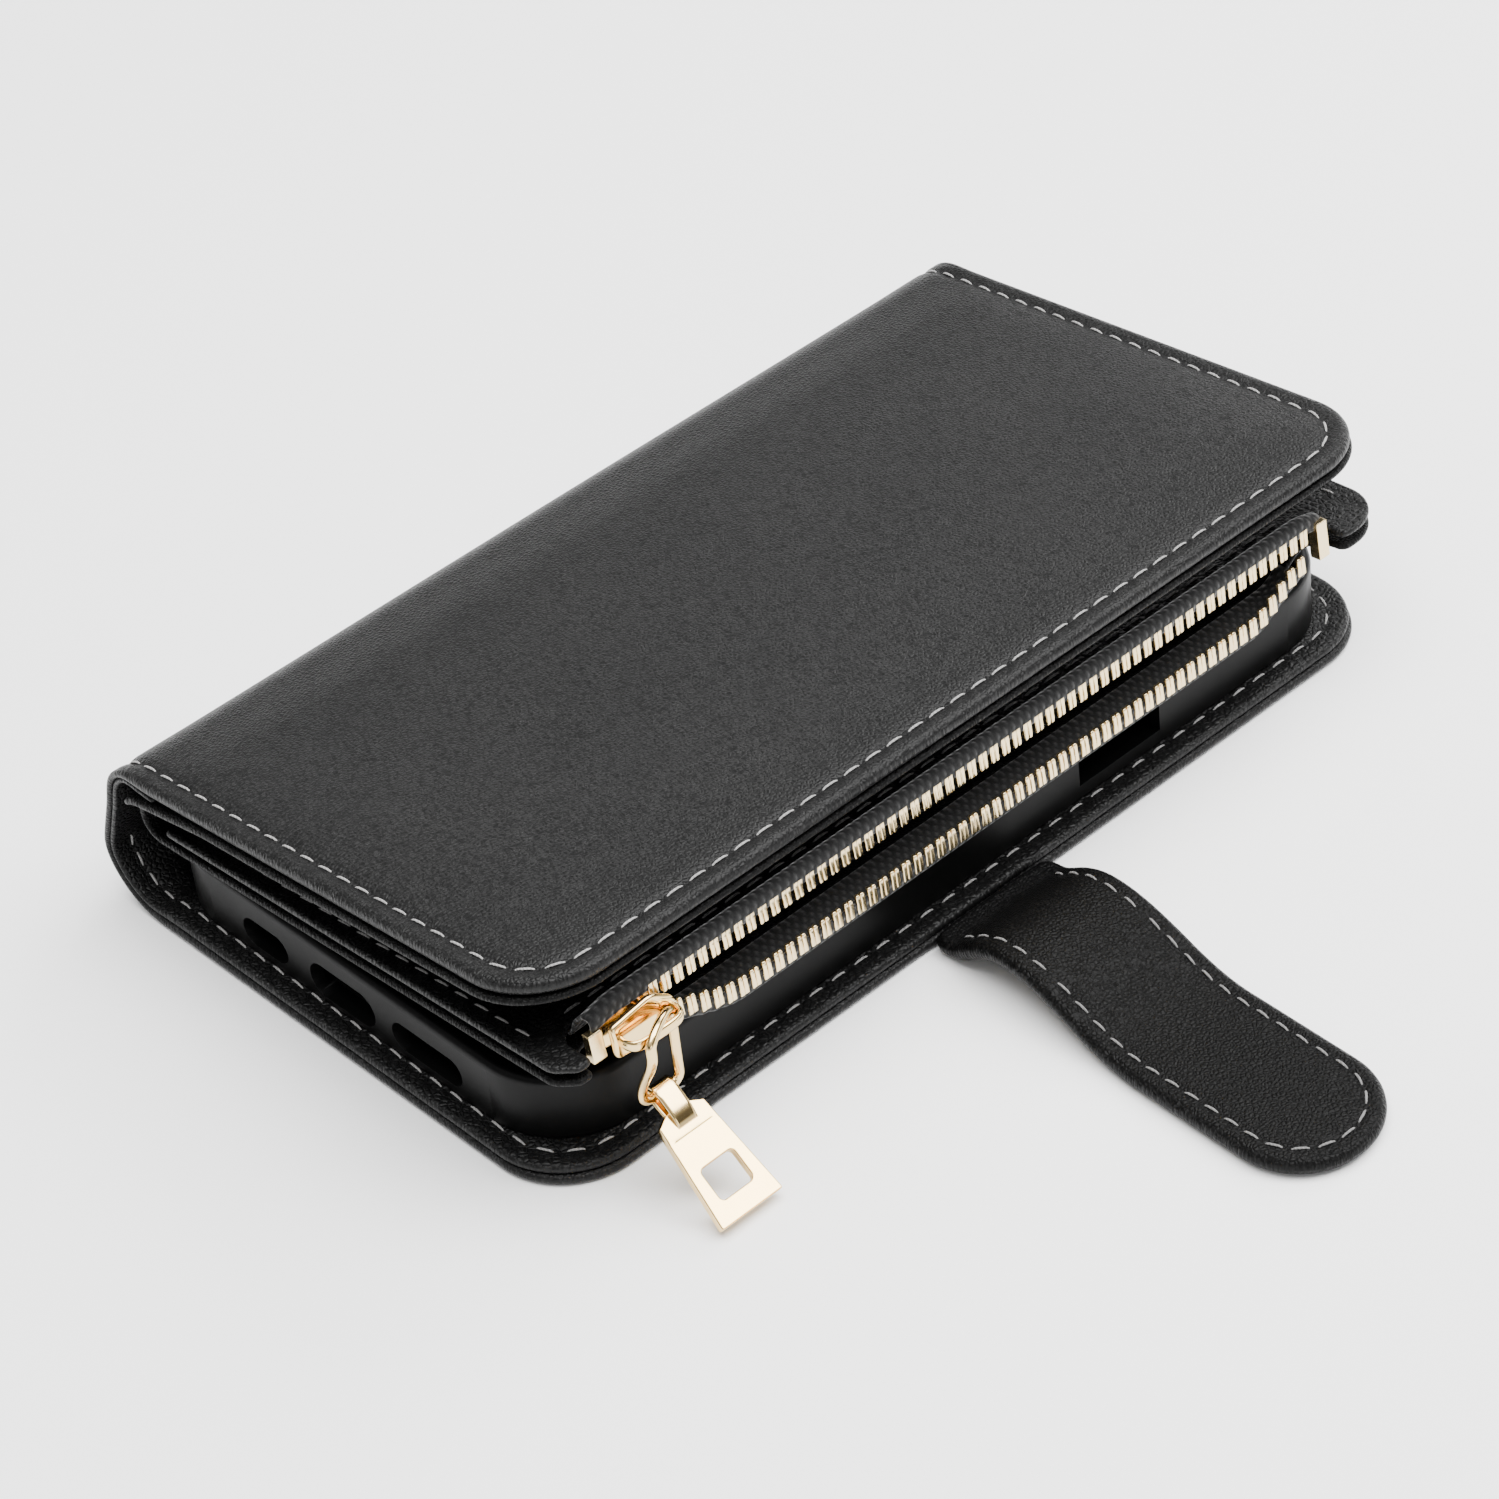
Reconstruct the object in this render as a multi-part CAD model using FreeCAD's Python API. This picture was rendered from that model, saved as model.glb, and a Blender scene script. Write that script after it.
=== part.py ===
import FreeCAD, Part
import math
import os
from FreeCAD import Vector

# Phone wallet with a zip pocket, millimetres.
# X runs across (spine at -X, zip and strap at +X), Y runs along the spine, Z is up.
# The origin is the middle of the underside of the back cover, which rests on z = 0.

# ---- driving dimensions -------------------------------------------------------------------
LENGTH = 158.0            # covers, along the spine
COVER_RIGHT = 40.7        # free edge of both covers
CORNER_R = 12.0           # free corners of the covers
LEATHER = 1.1             # outer leather
LINING = 0.9              # inner leather
BOARD = 1.0               # stiffening board
BACK_LEFT = -44.0         # where the back cover starts to bend up into the spine
BACK_BEND_R = 10.6        # outer radius of that bend
BORDER = 3.5              # stitched border that the boards stay clear of

FRONT_Z = 31.3            # top of the front cover at x = 0
FRONT_SLOPE = 0.102       # rise of the front cover towards +X
FRONT_LEFT = -44.0        # where the front cover starts to bend down into the spine
FRONT_BEND_R = 7.0        # outer radius of that bend
FOAM = 0.6                # padding under the front leather
PANEL = 1.1               # inner panel, fold and page panels
COVER_STACK = 3.6         # front leather to the underside of the inner panel

LOW_HINGE = (-53.2, 7.95)      # back to spine, in XZ
HIGH_HINGE = (-49.2, 20.9)     # spine to front, in XZ
FOLD_AXIS = (-42.0, 18.0)      # front to page, in XZ
LOW_HINGE_GAP = 1.35           # from the hinge axis to the ends of the leather
HIGH_HINGE_GAP = 1.75
BEAD_R = 0.95                  # rolled bead on each hinge axis
BEAD_STEM = 0.3                # half thickness of the skin between a bead and the spine

PAGE_HALF = 77.2          # page, half length along Y
PAGE_RIGHT = 43.0         # free edge of the page
PAGE_Z = 17.35            # underside of the page at x = 0
PAGE_SLOPE = 0.0726
PAGE_CORNER_R = 8.0
PAGE_UPPER = 2.2          # underside of the upper panel above the underside of the page
POUCH_DEPTH = 5.2         # sag of the lower panel at its free edge
POUCH_END = 9.0           # length over which each end of the lower panel rises
RECESS_X = 35.6           # edge of the recess where the zip tape shows
RECESS_Y = (-72.4, 67.6)  # ends of that recess
LOWER_RECESS_X = 37.4     # the same recess in the lower panel
RECESS_R = 5.0
FOLD_R = 3.7              # outside of the fold that hinges the page

SHELL_MIN = (-47.5, -75.5)
SHELL_MAX = (36.8, 75.5)
SHELL_Z = (3.3, 13.2)
SHELL_WALL = 1.9
SHELL_FLOOR = 1.3
SHELL_R = 13.0
PAD_INSET = 6.0           # adhesive pad under the shell, in from its sides
PORT_CENTRE = -6.4        # charging port across the near wall
PORT_Z = 6.9              # centre height of the openings in the near wall
PORTS = ((PORT_CENTRE - 16.4, 9.6, 4.6), (PORT_CENTRE, 13.6, 5.6), (PORT_CENTRE + 17.4, 14.2, 4.6))
CAMERA_MIN = (-3.0, 38.0)      # camera opening through the shell and the back cover
CAMERA_MAX = (31.0, 72.0)
CAMERA_R = 8.0
BUTTON_Z = (5.4, 10.6)         # side openings of the shell
POWER_Y = (20.0, 36.0)
VOLUME_Y = (14.0, 48.0)

ZIP_X, ZIP_Z = 40.6, 22.9      # middle of the zip's plane, in XZ
ZIP_TILT = 6.0                 # the zip's plane leans back by this much
ROW_UP = 2.25                  # upper row above the middle of the zip
ROW_SAG = 6.0                  # lower row below it, along most of the opening
ROW_NEAR = 2.3                 # lower row below it where it enters the slider
ROW_FAR = 1.6                  # and at the far end
TOOTH = (1.5, 1.15, 2.8)       # through the zip, along it, across it
TOOTH_PITCH = 2.1
ROW_START, ROW_END = -59.8, 62.5
RISE_NEAR, RISE_FAR = -46.0, 50.0
TAPE = 0.5

SLIDER_Y = (-68.6, -58.0)      # tail and nose
BLADE = 1.15
BLADE_GAP = 2.2                # between the two blades
SLIDER_HALF = 3.4              # half height of the blades
POST_HALF = 0.55
BAIL_AXIS = 4.95               # middle of the bail's band, out from the zip's plane
BAIL_BAND = (0.9, 1.2)         # section of that band, out from the plane and across it
BAIL_Y = (-68.2, -58.4)
WIRE_R = 0.7                   # ring link
RING_SWING = 1.55              # from the middle of the bail's band to the middle of the wire
RING_HALF = 3.1                # half the distance between the ring's legs
RING_CORNER = 1.25             # bend of its lower corners
RING_BAR_Z = 12.4              # height of its bottom bar, which the tab hangs on
TAB_Y = -63.3                  # middle of the ring and the tab
TAB_LENGTH = 18.8
TAB_THICK = 1.3
TAB_TILT = 36.6                # below the horizontal
TAB_WIDTHS = (7.6, 10.4)       # at the shoulders and at the free end
SHOULDER = 3.4                 # from the bar to the shoulders
NECK_WIDTH = 3.4
BARREL_R = 1.65
BORE_GAP = 0.08                # between the ring's wire and the tab's bore
WINDOW = (4.8, 5.6, 3.0)       # length, width and distance from the free end

STRAP_HINGE = (45.5, 1.8)      # root hinge, in XZ
STRAP_FOLD = (79.9, 1.5)       # fold that lies over the cover's edge, in XZ
STRAP_TIP = 109.5
STRAP_HALF = 11.2
STRAP_THICK = 2.8
STRAP_CORE = 0.4          # half thickness of the filler between the strap's two leathers
STRAP_SEAM = 2.5          # the filler stops this far inside the strap's edges
STRAP_DRIFT = ((45.0, -2.0), (80.0, -4.2), (STRAP_TIP, -5.0))
MAGNET = (16.0, 10.0, 0.8)
COVER_MAGNET_X = 30.0

BOARD_LEFT = -38.0        # spine side of the front cover's board
CARD_HALF = 46.0          # card pockets under the inner panel, half length along Y
CARD_THICK = 0.6
CARD_STEP = 11.0          # each pocket's edge stands this far behind the one before it
CARD_RIGHT = 36.0
CARD_LEFT = -18.0
CLOTH = 0.25              # lining of the zip pocket
CLOTH_BACK = 1.7          # that lining ends this far behind the recess
TUCK = 1.4                # the tapes reach this far under the edges of the recess

HALF = LENGTH / 2.0

os.makedirs("parts", exist_ok=True)


# ---- helpers ------------------------------------------------------------------------------
def save(shape, name):
    """Write one node and print its volume."""
    shape.exportStep("parts/" + name + ".step")
    print(name, "valid" if shape.isValid() else "INVALID", round(shape.Volume, 1), len(shape.Solids))


def box(x0, x1, y0, y1, z0, z1):
    return Part.makeBox(x1 - x0, y1 - y0, z1 - z0, Vector(x0, y0, z0))


def bar_y(x, z, radius, y0, y1):
    """A round bar along Y."""
    return Part.makeCylinder(radius, y1 - y0, Vector(x, y0, z), Vector(0, 1, 0))


def rounded(x0, x1, y0, y1, z0, z1, r_left, r_right):
    """A box with rounded vertical edges, its left and right corners apart."""
    solid = box(x0, x1, y0, y1, z0, z1)
    for radius, x in ((r_left, x0), (r_right, x1)):
        edges = [e for e in solid.Edges
                 if abs(e.Length - (z1 - z0)) < 1e-6 and all(abs(v.X - x) < 1e-6 for v in e.Vertexes)]
        if radius > 0:
            solid = solid.makeFillet(radius, edges)
    return solid


def along_y(points, y0, y1):
    """Extrude a closed XZ outline along Y."""
    corners = [Vector(x, y0, z) for x, z in points]
    face = Part.Face(Part.makePolygon(corners + corners[:1]))
    return face.extrude(Vector(0, y1 - y0, 0))


def arc_points(centre, radius, start, end, count=15):
    """XZ points on an arc, angles in degrees from +X towards +Z."""
    steps = [math.radians(start + (end - start) * i / (count - 1)) for i in range(count)]
    return [(centre[0] + radius * math.cos(t), centre[1] + radius * math.sin(t)) for t in steps]


def sheet_outline(path, low, high):
    """The closed outline of a sheet on an XZ path, from low to high on the left of its direction."""
    sides = ([], [])
    for i, (x, z) in enumerate(path):
        a = path[max(i - 1, 0)]
        b = path[min(i + 1, len(path) - 1)]
        run = math.hypot(b[0] - a[0], b[1] - a[1])
        nx, nz = -(b[1] - a[1]) / run, (b[0] - a[0]) / run
        sides[0].append((x + nx * low, z + nz * low))
        sides[1].append((x + nx * high, z + nz * high))
    return sides[0] + sides[1][::-1]


def sheet(path, low, high, y0, y1):
    """A sheet that follows an XZ path along Y."""
    return along_y(sheet_outline(path, low, high), y0, y1)


def front_top(x):
    return FRONT_Z + FRONT_SLOPE * x


def page_low(x):
    return PAGE_Z + PAGE_SLOPE * x


def plate(surface, x0, x1, low, high, half, r_left, r_right):
    """A flat tilted plate between two heights above (or below) a sloping line."""
    slab = along_y([(x0, surface(x0) + low), (x1, surface(x1) + low),
                    (x1, surface(x1) + high), (x0, surface(x0) + high)], -half, half)
    return slab.common(rounded(x0, x1, -half, half, -5, 60, r_left, r_right))


def point_at(start, direction, distance):
    t = math.radians(direction)
    return (start[0] + distance * math.cos(t), start[1] + distance * math.sin(t))


# ---- back cover ---------------------------------------------------------------------------
BEND_CENTRE = (BACK_LEFT, BACK_BEND_R)
wall_mid = BACK_BEND_R - (LEATHER + LINING) / 2
hinge_angle = 180 + math.degrees(math.atan2(BACK_BEND_R - LOW_HINGE[1], BACK_LEFT - LOW_HINGE[0]))
bend_end = hinge_angle + math.degrees(LOW_HINGE_GAP / wall_mid)
bend = arc_points(BEND_CENTRE, BACK_BEND_R, bend_end, 268)
camera_hole = rounded(CAMERA_MIN[0] - 1, CAMERA_MAX[0] + 1, CAMERA_MIN[1] - 1, CAMERA_MAX[1] + 1,
                      -1, 8, CAMERA_R + 1, CAMERA_R + 1)
plan = rounded(-60, COVER_RIGHT, -HALF, HALF, -1, 12, 0, CORNER_R)
flat_back = bend + [(BACK_LEFT, 0.0), (COVER_RIGHT, 0.0)]
wrap_back = sheet(flat_back, 0, LEATHER, -HALF, HALF).common(plan).cut(camera_hole)
lining_low = LEATHER + BOARD
lining_bend = arc_points(BEND_CENTRE, BACK_BEND_R - LEATHER, bend_end, 262)
lining_path = lining_bend + [(BACK_LEFT + 3, lining_low), (COVER_RIGHT, lining_low)]
lining_back = sheet(lining_path, 0, LINING, -HALF, HALF).common(plan).cut(camera_hole).cut(wrap_back)
strap_slot = box(35.0, 45.0, -13.5, 9.5, 0, 5)
board_back = rounded(BACK_LEFT + 4, COVER_RIGHT - BORDER, -HALF + BORDER, HALF - BORDER,
                     LEATHER, lining_low, 3, CORNER_R - BORDER).cut(camera_hole).cut(strap_slot)
save(wrap_back, "wrap_leather_back")
save(board_back, "board_back")
save(lining_back, "lining_back")

# ---- phone shell --------------------------------------------------------------------------
camera_inner = rounded(CAMERA_MIN[0], CAMERA_MAX[0], CAMERA_MIN[1], CAMERA_MAX[1],
                       -1, 8, CAMERA_R, CAMERA_R)
shell = rounded(SHELL_MIN[0], SHELL_MAX[0], SHELL_MIN[1], SHELL_MAX[1],
                SHELL_Z[0], SHELL_Z[1], SHELL_R, SHELL_R)
rim_edges = [e for e in shell.Edges if all(abs(v.Z - SHELL_Z[1]) < 1e-6 for v in e.Vertexes)]
shell = shell.makeFillet(1.2, rim_edges)
hollow_r = SHELL_R - SHELL_WALL
shell = shell.cut(rounded(SHELL_MIN[0] + SHELL_WALL, SHELL_MAX[0] - SHELL_WALL,
                          SHELL_MIN[1] + SHELL_WALL, SHELL_MAX[1] - SHELL_WALL,
                          SHELL_Z[0] + SHELL_FLOOR, SHELL_Z[1] + 1, hollow_r, hollow_r))
shell = shell.cut(camera_inner)
near_wall = (SHELL_MIN[1] - 1, SHELL_MIN[1] + SHELL_WALL + 1)
for centre, width, height in PORTS:
    reach = (width - height) / 2
    shell = shell.cut(box(centre - reach, centre + reach, near_wall[0], near_wall[1],
                          PORT_Z - height / 2, PORT_Z + height / 2))
    for end in (centre - reach, centre + reach):
        shell = shell.cut(bar_y(end, PORT_Z, height / 2, near_wall[0], near_wall[1]))
shell = shell.cut(box(SHELL_MAX[0] - SHELL_WALL - 1, SHELL_MAX[0] + 1, *POWER_Y, *BUTTON_Z))
shell = shell.cut(box(SHELL_MIN[0] - 1, SHELL_MIN[0] + SHELL_WALL + 1, *VOLUME_Y, *BUTTON_Z))
save(shell, "phone_shell")
pad = rounded(SHELL_MIN[0] + PAD_INSET, SHELL_MAX[0] - PAD_INSET, SHELL_MIN[1] + PAD_INSET,
              SHELL_MAX[1] - PAD_INSET, lining_low + LINING, SHELL_Z[0], 8, 8).cut(camera_hole)
save(pad, "shell_adhesive_pad")

# ---- spine --------------------------------------------------------------------------------
spine_dir = math.degrees(math.atan2(HIGH_HINGE[1] - LOW_HINGE[1], HIGH_HINGE[0] - LOW_HINGE[0]))
spine_path = [point_at(LOW_HINGE, spine_dir, LOW_HINGE_GAP),
              point_at(HIGH_HINGE, spine_dir, -HIGH_HINGE_GAP)]
middle = (LEATHER - LINING) / 2
wrap_spine = sheet(spine_path, -middle, LEATHER - middle, -HALF, HALF)
lining_spine = sheet(spine_path, -middle - LINING, -middle, -HALF, HALF)
save(wrap_spine, "wrap_leather_spine")
for hinge, spine_end in ((LOW_HINGE, spine_path[0]), (HIGH_HINGE, spine_path[1])):
    run = [hinge, spine_end] if hinge is LOW_HINGE else [spine_end, hinge]
    bead = bar_y(hinge[0], hinge[1], BEAD_R, -HALF, HALF)
    bead = bead.fuse(sheet(run, -BEAD_STEM, BEAD_STEM, -HALF, HALF))
    lining_spine = lining_spine.fuse(bead.cut(wrap_spine))
save(lining_spine, "lining_spine")

# ---- front cover --------------------------------------------------------------------------
tilt = math.atan(FRONT_SLOPE)
front_centre = (FRONT_LEFT + FRONT_BEND_R * math.sin(tilt),
                front_top(FRONT_LEFT) - FRONT_BEND_R * math.cos(tilt))
front_mid = FRONT_BEND_R - (LEATHER + LINING) / 2
front_hinge_angle = math.degrees(math.atan2(HIGH_HINGE[1] - front_centre[1],
                                            HIGH_HINGE[0] - front_centre[0])) % 360
front_end = front_hinge_angle - math.degrees(HIGH_HINGE_GAP / front_mid)
front_start = 90 + math.degrees(tilt)
front_bend = arc_points(front_centre, FRONT_BEND_R, front_end, front_start)
front_plan = rounded(-60, COVER_RIGHT, -HALF, HALF, -1, 60, 0, CORNER_R)
front_path = front_bend + [(COVER_RIGHT + 1, front_top(COVER_RIGHT + 1))]
wrap_front = sheet(front_path, -LEATHER, 0, -HALF, HALF).common(front_plan)
save(wrap_front, "wrap_leather_front")
inner_bend = arc_points(front_centre, FRONT_BEND_R - LEATHER, front_end, front_start)
lining_front_path = inner_bend + [(BOARD_LEFT - 0.4, front_top(BOARD_LEFT - 0.4) - LEATHER)]
lining_front = sheet(lining_front_path, -LINING, 0, -HALF, HALF).cut(wrap_front)
save(lining_front, "lining_front")
inset = CORNER_R - BORDER
foam_low = -LEATHER - FOAM
board_low = -(COVER_STACK - PANEL)
foam = plate(front_top, BOARD_LEFT, COVER_RIGHT - BORDER, foam_low, -LEATHER, HALF - BORDER, 3, inset)
foam = foam.cut(wrap_front)
magnet_hole = box(COVER_MAGNET_X - MAGNET[0] / 2, COVER_MAGNET_X + MAGNET[0] / 2,
                  STRAP_DRIFT[1][1] - MAGNET[1] / 2, STRAP_DRIFT[1][1] + MAGNET[1] / 2, 0, 60)
cover_board = plate(front_top, BOARD_LEFT, COVER_RIGHT - BORDER, board_low, foam_low,
                    HALF - BORDER, 3, inset)
save(foam, "padding_front")
save(cover_board.cut(magnet_hole), "board_front")
cover_magnet = cover_board.common(magnet_hole)
save(cover_magnet, "magnet_cover")

# Inner panel of the front cover: flat under the board, then a flap that wraps the page's fold.
panel_top = -(COVER_STACK - PANEL)
flap_inner = FOLD_R + 0.35
flap_angles = (88, 140)
flap = arc_points(FOLD_AXIS, flap_inner, flap_angles[1], flap_angles[0], 9)
panel_join = -27.0
panel_path = flap + [(panel_join, front_top(panel_join) - COVER_STACK),
                     (COVER_RIGHT, front_top(COVER_RIGHT) - COVER_STACK)]
panel_plan = rounded(-60, COVER_RIGHT, -HALF - 0.4, HALF + 0.4, -1, 60, 0, CORNER_R)
inner_panel = sheet(panel_path, 0, PANEL, -HALF - 0.4, HALF + 0.4).common(panel_plan)
inner_panel = inner_panel.cut(cover_board).cut(foam)
save(inner_panel, "inner_panel")

# Three card pockets, each lapping the next, on the underside of the inner panel.
for i in range(3):
    low = -COVER_STACK - CARD_THICK * (i + 1)
    right = CARD_RIGHT - CARD_STEP * i
    pocket = plate(front_top, CARD_LEFT, right, low, low + CARD_THICK, CARD_HALF, 2, 2)
    save(pocket, "card_pocket_%d" % (i + 1))

# ---- page with the zip pocket -------------------------------------------------------------
fold_arc = arc_points(FOLD_AXIS, FOLD_R, 128, 266, 19)
fold_foot = (-37.0, page_low(-37.0))
fold = sheet(fold_arc + [fold_foot], 0, PANEL, -PAGE_HALF, PAGE_HALF)
save(fold, "page_fold")

page_plan = rounded(-37.0, PAGE_RIGHT, -PAGE_HALF, PAGE_HALF, -5, 60, 0, PAGE_CORNER_R)
recess = rounded(RECESS_X, RECESS_X + 30, RECESS_Y[0], RECESS_Y[1], -5, 60, RECESS_R, 0)
upper = plate(page_low, -40.2, PAGE_RIGHT, PAGE_UPPER, PAGE_UPPER + PANEL, PAGE_HALF, 0, PAGE_CORNER_R)
save(upper.cut(recess), "page_upper_panel")


def sink(x, y):
    """How far the lower panel sags: nothing at its ends and at the fold, most at its free edge."""
    from_end = min(y + PAGE_HALF - 11.0, PAGE_HALF - 11.0 - y)
    share = min(max(from_end / POUCH_END, 0.0), 1.0)
    return POUCH_DEPTH * share * (x + 37.0) / (PAGE_RIGHT + 37.0)


def tray_section(x, low, high):
    """One section of the lower panel: flat ends, sloping shoulders and a sagging middle."""
    shoulders = (PAGE_HALF, PAGE_HALF - 11.0, PAGE_HALF - 11.0 - POUCH_END)
    ys = [-v for v in shoulders] + list(shoulders[::-1])
    at = max(x, -36.7)
    lower_side = [Vector(x, y, page_low(x) + low - sink(at, y)) for y in ys]
    upper_side = [Vector(x, y, page_low(x) + high - sink(at, y)) for y in ys]
    ring = lower_side + upper_side[::-1]
    return Part.makePolygon(ring + ring[:1])


def tray(low, high):
    return Part.makeLoft([tray_section(-37.0, low, high), tray_section(PAGE_RIGHT, low, high)],
                         True, True)


lower_recess = rounded(LOWER_RECESS_X, PAGE_RIGHT + 30, RECESS_Y[0], RECESS_Y[1], -5, 60, RECESS_R, 0)
lower = tray(0.0, PANEL).common(page_plan).cut(lower_recess)
save(lower, "page_lower_panel")
inside = rounded(-36.0, RECESS_X - CLOTH_BACK, -PAGE_HALF + 4, PAGE_HALF - 4, -5, 60, 2, 4)
save(tray(PANEL, PANEL + CLOTH).common(inside), "pocket_lining_lower")
upper_cloth = plate(page_low, -36.0, RECESS_X - CLOTH_BACK, PAGE_UPPER - CLOTH, PAGE_UPPER,
                    PAGE_HALF - 4, 2, 4)
save(upper_cloth, "pocket_lining_upper")


# ---- zip: built upright on the plane x = 0, then leaned back and moved to its place --------
def lean(shape):
    """Carry a shape from the zip's own frame to the page."""
    placed = shape.copy()
    placed.rotate(Vector(0, 0, 0), Vector(0, 1, 0), -ZIP_TILT)
    placed.translate(Vector(ZIP_X, 0, ZIP_Z))
    return placed


def unlean(x, z):
    """A point of the page in the zip's own frame."""
    t = math.radians(ZIP_TILT)
    dx, dz = x - ZIP_X, z - ZIP_Z
    return (dx * math.cos(t) + dz * math.sin(t), -dx * math.sin(t) + dz * math.cos(t))


def ease(t):
    t = min(max(t, 0.0), 1.0)
    return t * t * (3 - 2 * t)


def row_low(y):
    """Middle of the lower row, below the middle of the zip."""
    near = ROW_NEAR + (ROW_SAG - ROW_NEAR) * ease((y - ROW_START) / (RISE_NEAR - ROW_START))
    far = ROW_FAR + (ROW_SAG - ROW_FAR) * ease((ROW_END - y) / (ROW_END - RISE_FAR))
    return -min(near, far)


def tooth(y, z, up):
    """One tooth: a shank on the tape and a rounded head towards the other row."""
    sx, sy, sz = TOOTH
    body = box(-sx / 2, sx / 2, y - sy / 2, y + sy / 2, z - sz / 2, z + sz / 2)
    end = z - sz / 2 if up else z + sz / 2
    edges = [e for e in body.Edges if all(abs(v.Z - end) < 1e-6 for v in e.Vertexes)
             and abs(e.Length - sx) < 1e-6]
    return body.makeFillet(0.4, edges)


count = int((ROW_END - ROW_START) / TOOTH_PITCH) + 1
upper_teeth = []
lower_teeth = []
for i in range(count):
    y = ROW_START + i * TOOTH_PITCH
    upper_teeth.append(tooth(y, ROW_UP, True))
    if i < count - 1:
        lower_teeth.append(tooth(y + TOOTH_PITCH / 2, row_low(y + TOOTH_PITCH / 2), False))
save(lean(Part.makeCompound(upper_teeth)), "zip_teeth_upper")
save(lean(Part.makeCompound(lower_teeth)), "zip_teeth_lower")

tooth_half = TOOTH[2] / 2
tape_root = ROW_UP + tooth_half
tape_y = (RECESS_Y[0] + 2.0, RECESS_Y[1] - 1.0)
hem_x = RECESS_X - TUCK
under_upper = unlean(hem_x, page_low(hem_x) + PAGE_UPPER - TAPE / 2 - 0.02)
tape_path = [under_upper, (-2.0, tape_root + 1.25), (-0.7, tape_root + 1.1), (0, tape_root + 0.4),
             (0, tape_root)]
tape_upper = lean(sheet(tape_path, -TAPE / 2, TAPE / 2, *tape_y)).cut(upper.cut(recess))
save(max(tape_upper.Solids, key=lambda solid: solid.Volume), "zip_tape_upper")


def lower_tape_section(y):
    """Section of the lower tape: from the lower row, round under it, to the lower panel."""
    z = row_low(y) - tooth_half
    edge_x = LOWER_RECESS_X - TUCK
    edge = unlean(edge_x, page_low(edge_x) + PANEL + TAPE / 2 + 0.05 - sink(edge_x, y))
    path = [(0, z), (0, z - 0.4), (-0.6, z - 0.9), (-1.5, z - 1.0), edge]
    ring = sheet_outline(path, -TAPE / 2, TAPE / 2)
    corners = [Vector(px, y, pz) for px, pz in ring]
    return Part.makePolygon(corners + corners[:1])


stations = [ROW_START - 1.0]
for start, end, steps in ((ROW_START, RISE_NEAR, 6), (RISE_NEAR, RISE_FAR, 1), (RISE_FAR, ROW_END, 6)):
    stations += [start + (end - start) * (i + 1) / steps for i in range(steps)]
tape_lower = lean(Part.makeLoft([lower_tape_section(y) for y in stations], True, True))
tape_lower = tape_lower.cut(lower).cut(lean(Part.makeCompound(lower_teeth)))
save(max(tape_lower.Solids, key=lambda solid: solid.Volume), "zip_tape_lower")

stop_far = box(-0.9, 0.9, ROW_END + 1.6, ROW_END + 3.6, -2.4, ROW_UP + 1.3)
save(lean(stop_far), "zip_stop_far")
stop_near = box(-0.7, 0.7, SLIDER_Y[0] - 2.6, SLIDER_Y[0] - 0.4, -2.2, 2.2)
save(lean(stop_near), "zip_stop_near")

# ---- slider -------------------------------------------------------------------------------
inner_face = BLADE_GAP / 2


def blade(x0, x1):
    """One blade: rounded nose and narrower tail."""
    tail = 2.7
    outline = [Vector(x0, SLIDER_Y[0], -tail), Vector(x0, SLIDER_Y[1] - 4.0, -SLIDER_HALF),
               Vector(x0, SLIDER_Y[1], 0), Vector(x0, SLIDER_Y[1] - 4.0, SLIDER_HALF),
               Vector(x0, SLIDER_Y[0], tail)]
    knee = 0.707
    nose_low = Vector(x0, SLIDER_Y[1] - 4.0 + 4.0 * knee, -SLIDER_HALF * knee)
    nose_high = Vector(x0, nose_low.y, SLIDER_HALF * knee)
    edges = [Part.makeLine(outline[0], outline[1]),
             Part.Arc(outline[1], nose_low, outline[2]).toShape(),
             Part.Arc(outline[2], nose_high, outline[3]).toShape(),
             Part.makeLine(outline[3], outline[4]),
             Part.makeLine(outline[4], outline[0])]
    return Part.Face(Part.Wire(edges)).extrude(Vector(x1 - x0, 0, 0))


outer_blade = blade(inner_face, inner_face + BLADE)
inner_blade = blade(-inner_face - BLADE, -inner_face)
post = box(-inner_face, inner_face, SLIDER_Y[1] - 3.6, SLIDER_Y[1] - 1.6, -POST_HALF, POST_HALF)
out_band, across_band = BAIL_BAND
bail_top = BAIL_AXIS + out_band / 2
bail = rounded(inner_face + 0.2, bail_top, BAIL_Y[0], BAIL_Y[1],
               -across_band / 2, across_band / 2, 0, 1.6)
bail = bail.cut(rounded(inner_face - 1, bail_top - out_band, BAIL_Y[0] + out_band,
                        BAIL_Y[1] - out_band, -2, 2, 0, 0.8))
slider = outer_blade.fuse(inner_blade).fuse(post).fuse(bail).removeSplitter()
save(lean(slider), "zip_slider")

# ---- ring link: one leg passes through the bail and the other hangs outside it -------------
t = math.radians(ZIP_TILT)
axis_x = ZIP_X + BAIL_AXIS * math.cos(t)
axis_z = ZIP_Z + BAIL_AXIS * math.sin(t)
inside_x = axis_x - RING_SWING
far_y, near_y = TAB_Y + RING_HALF, TAB_Y - RING_HALF
corner_z = RING_BAR_Z + RING_CORNER
ring_path = [Vector(inside_x, far_y - RING_CORNER, RING_BAR_Z),
             Vector(inside_x, near_y + RING_CORNER, RING_BAR_Z)]
for angle in (22.5, 45, 67.5, 90):
    t = math.radians(angle)
    ring_path.append(Vector(inside_x, near_y + RING_CORNER * (1 - math.sin(t)),
                            corner_z - RING_CORNER * math.cos(t)))
for share in (0.35, 0.7, 1):
    ring_path.append(Vector(inside_x + 2 * RING_SWING * ease(share), near_y,
                            corner_z + (axis_z - 1.0 - corner_z) * share))
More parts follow.
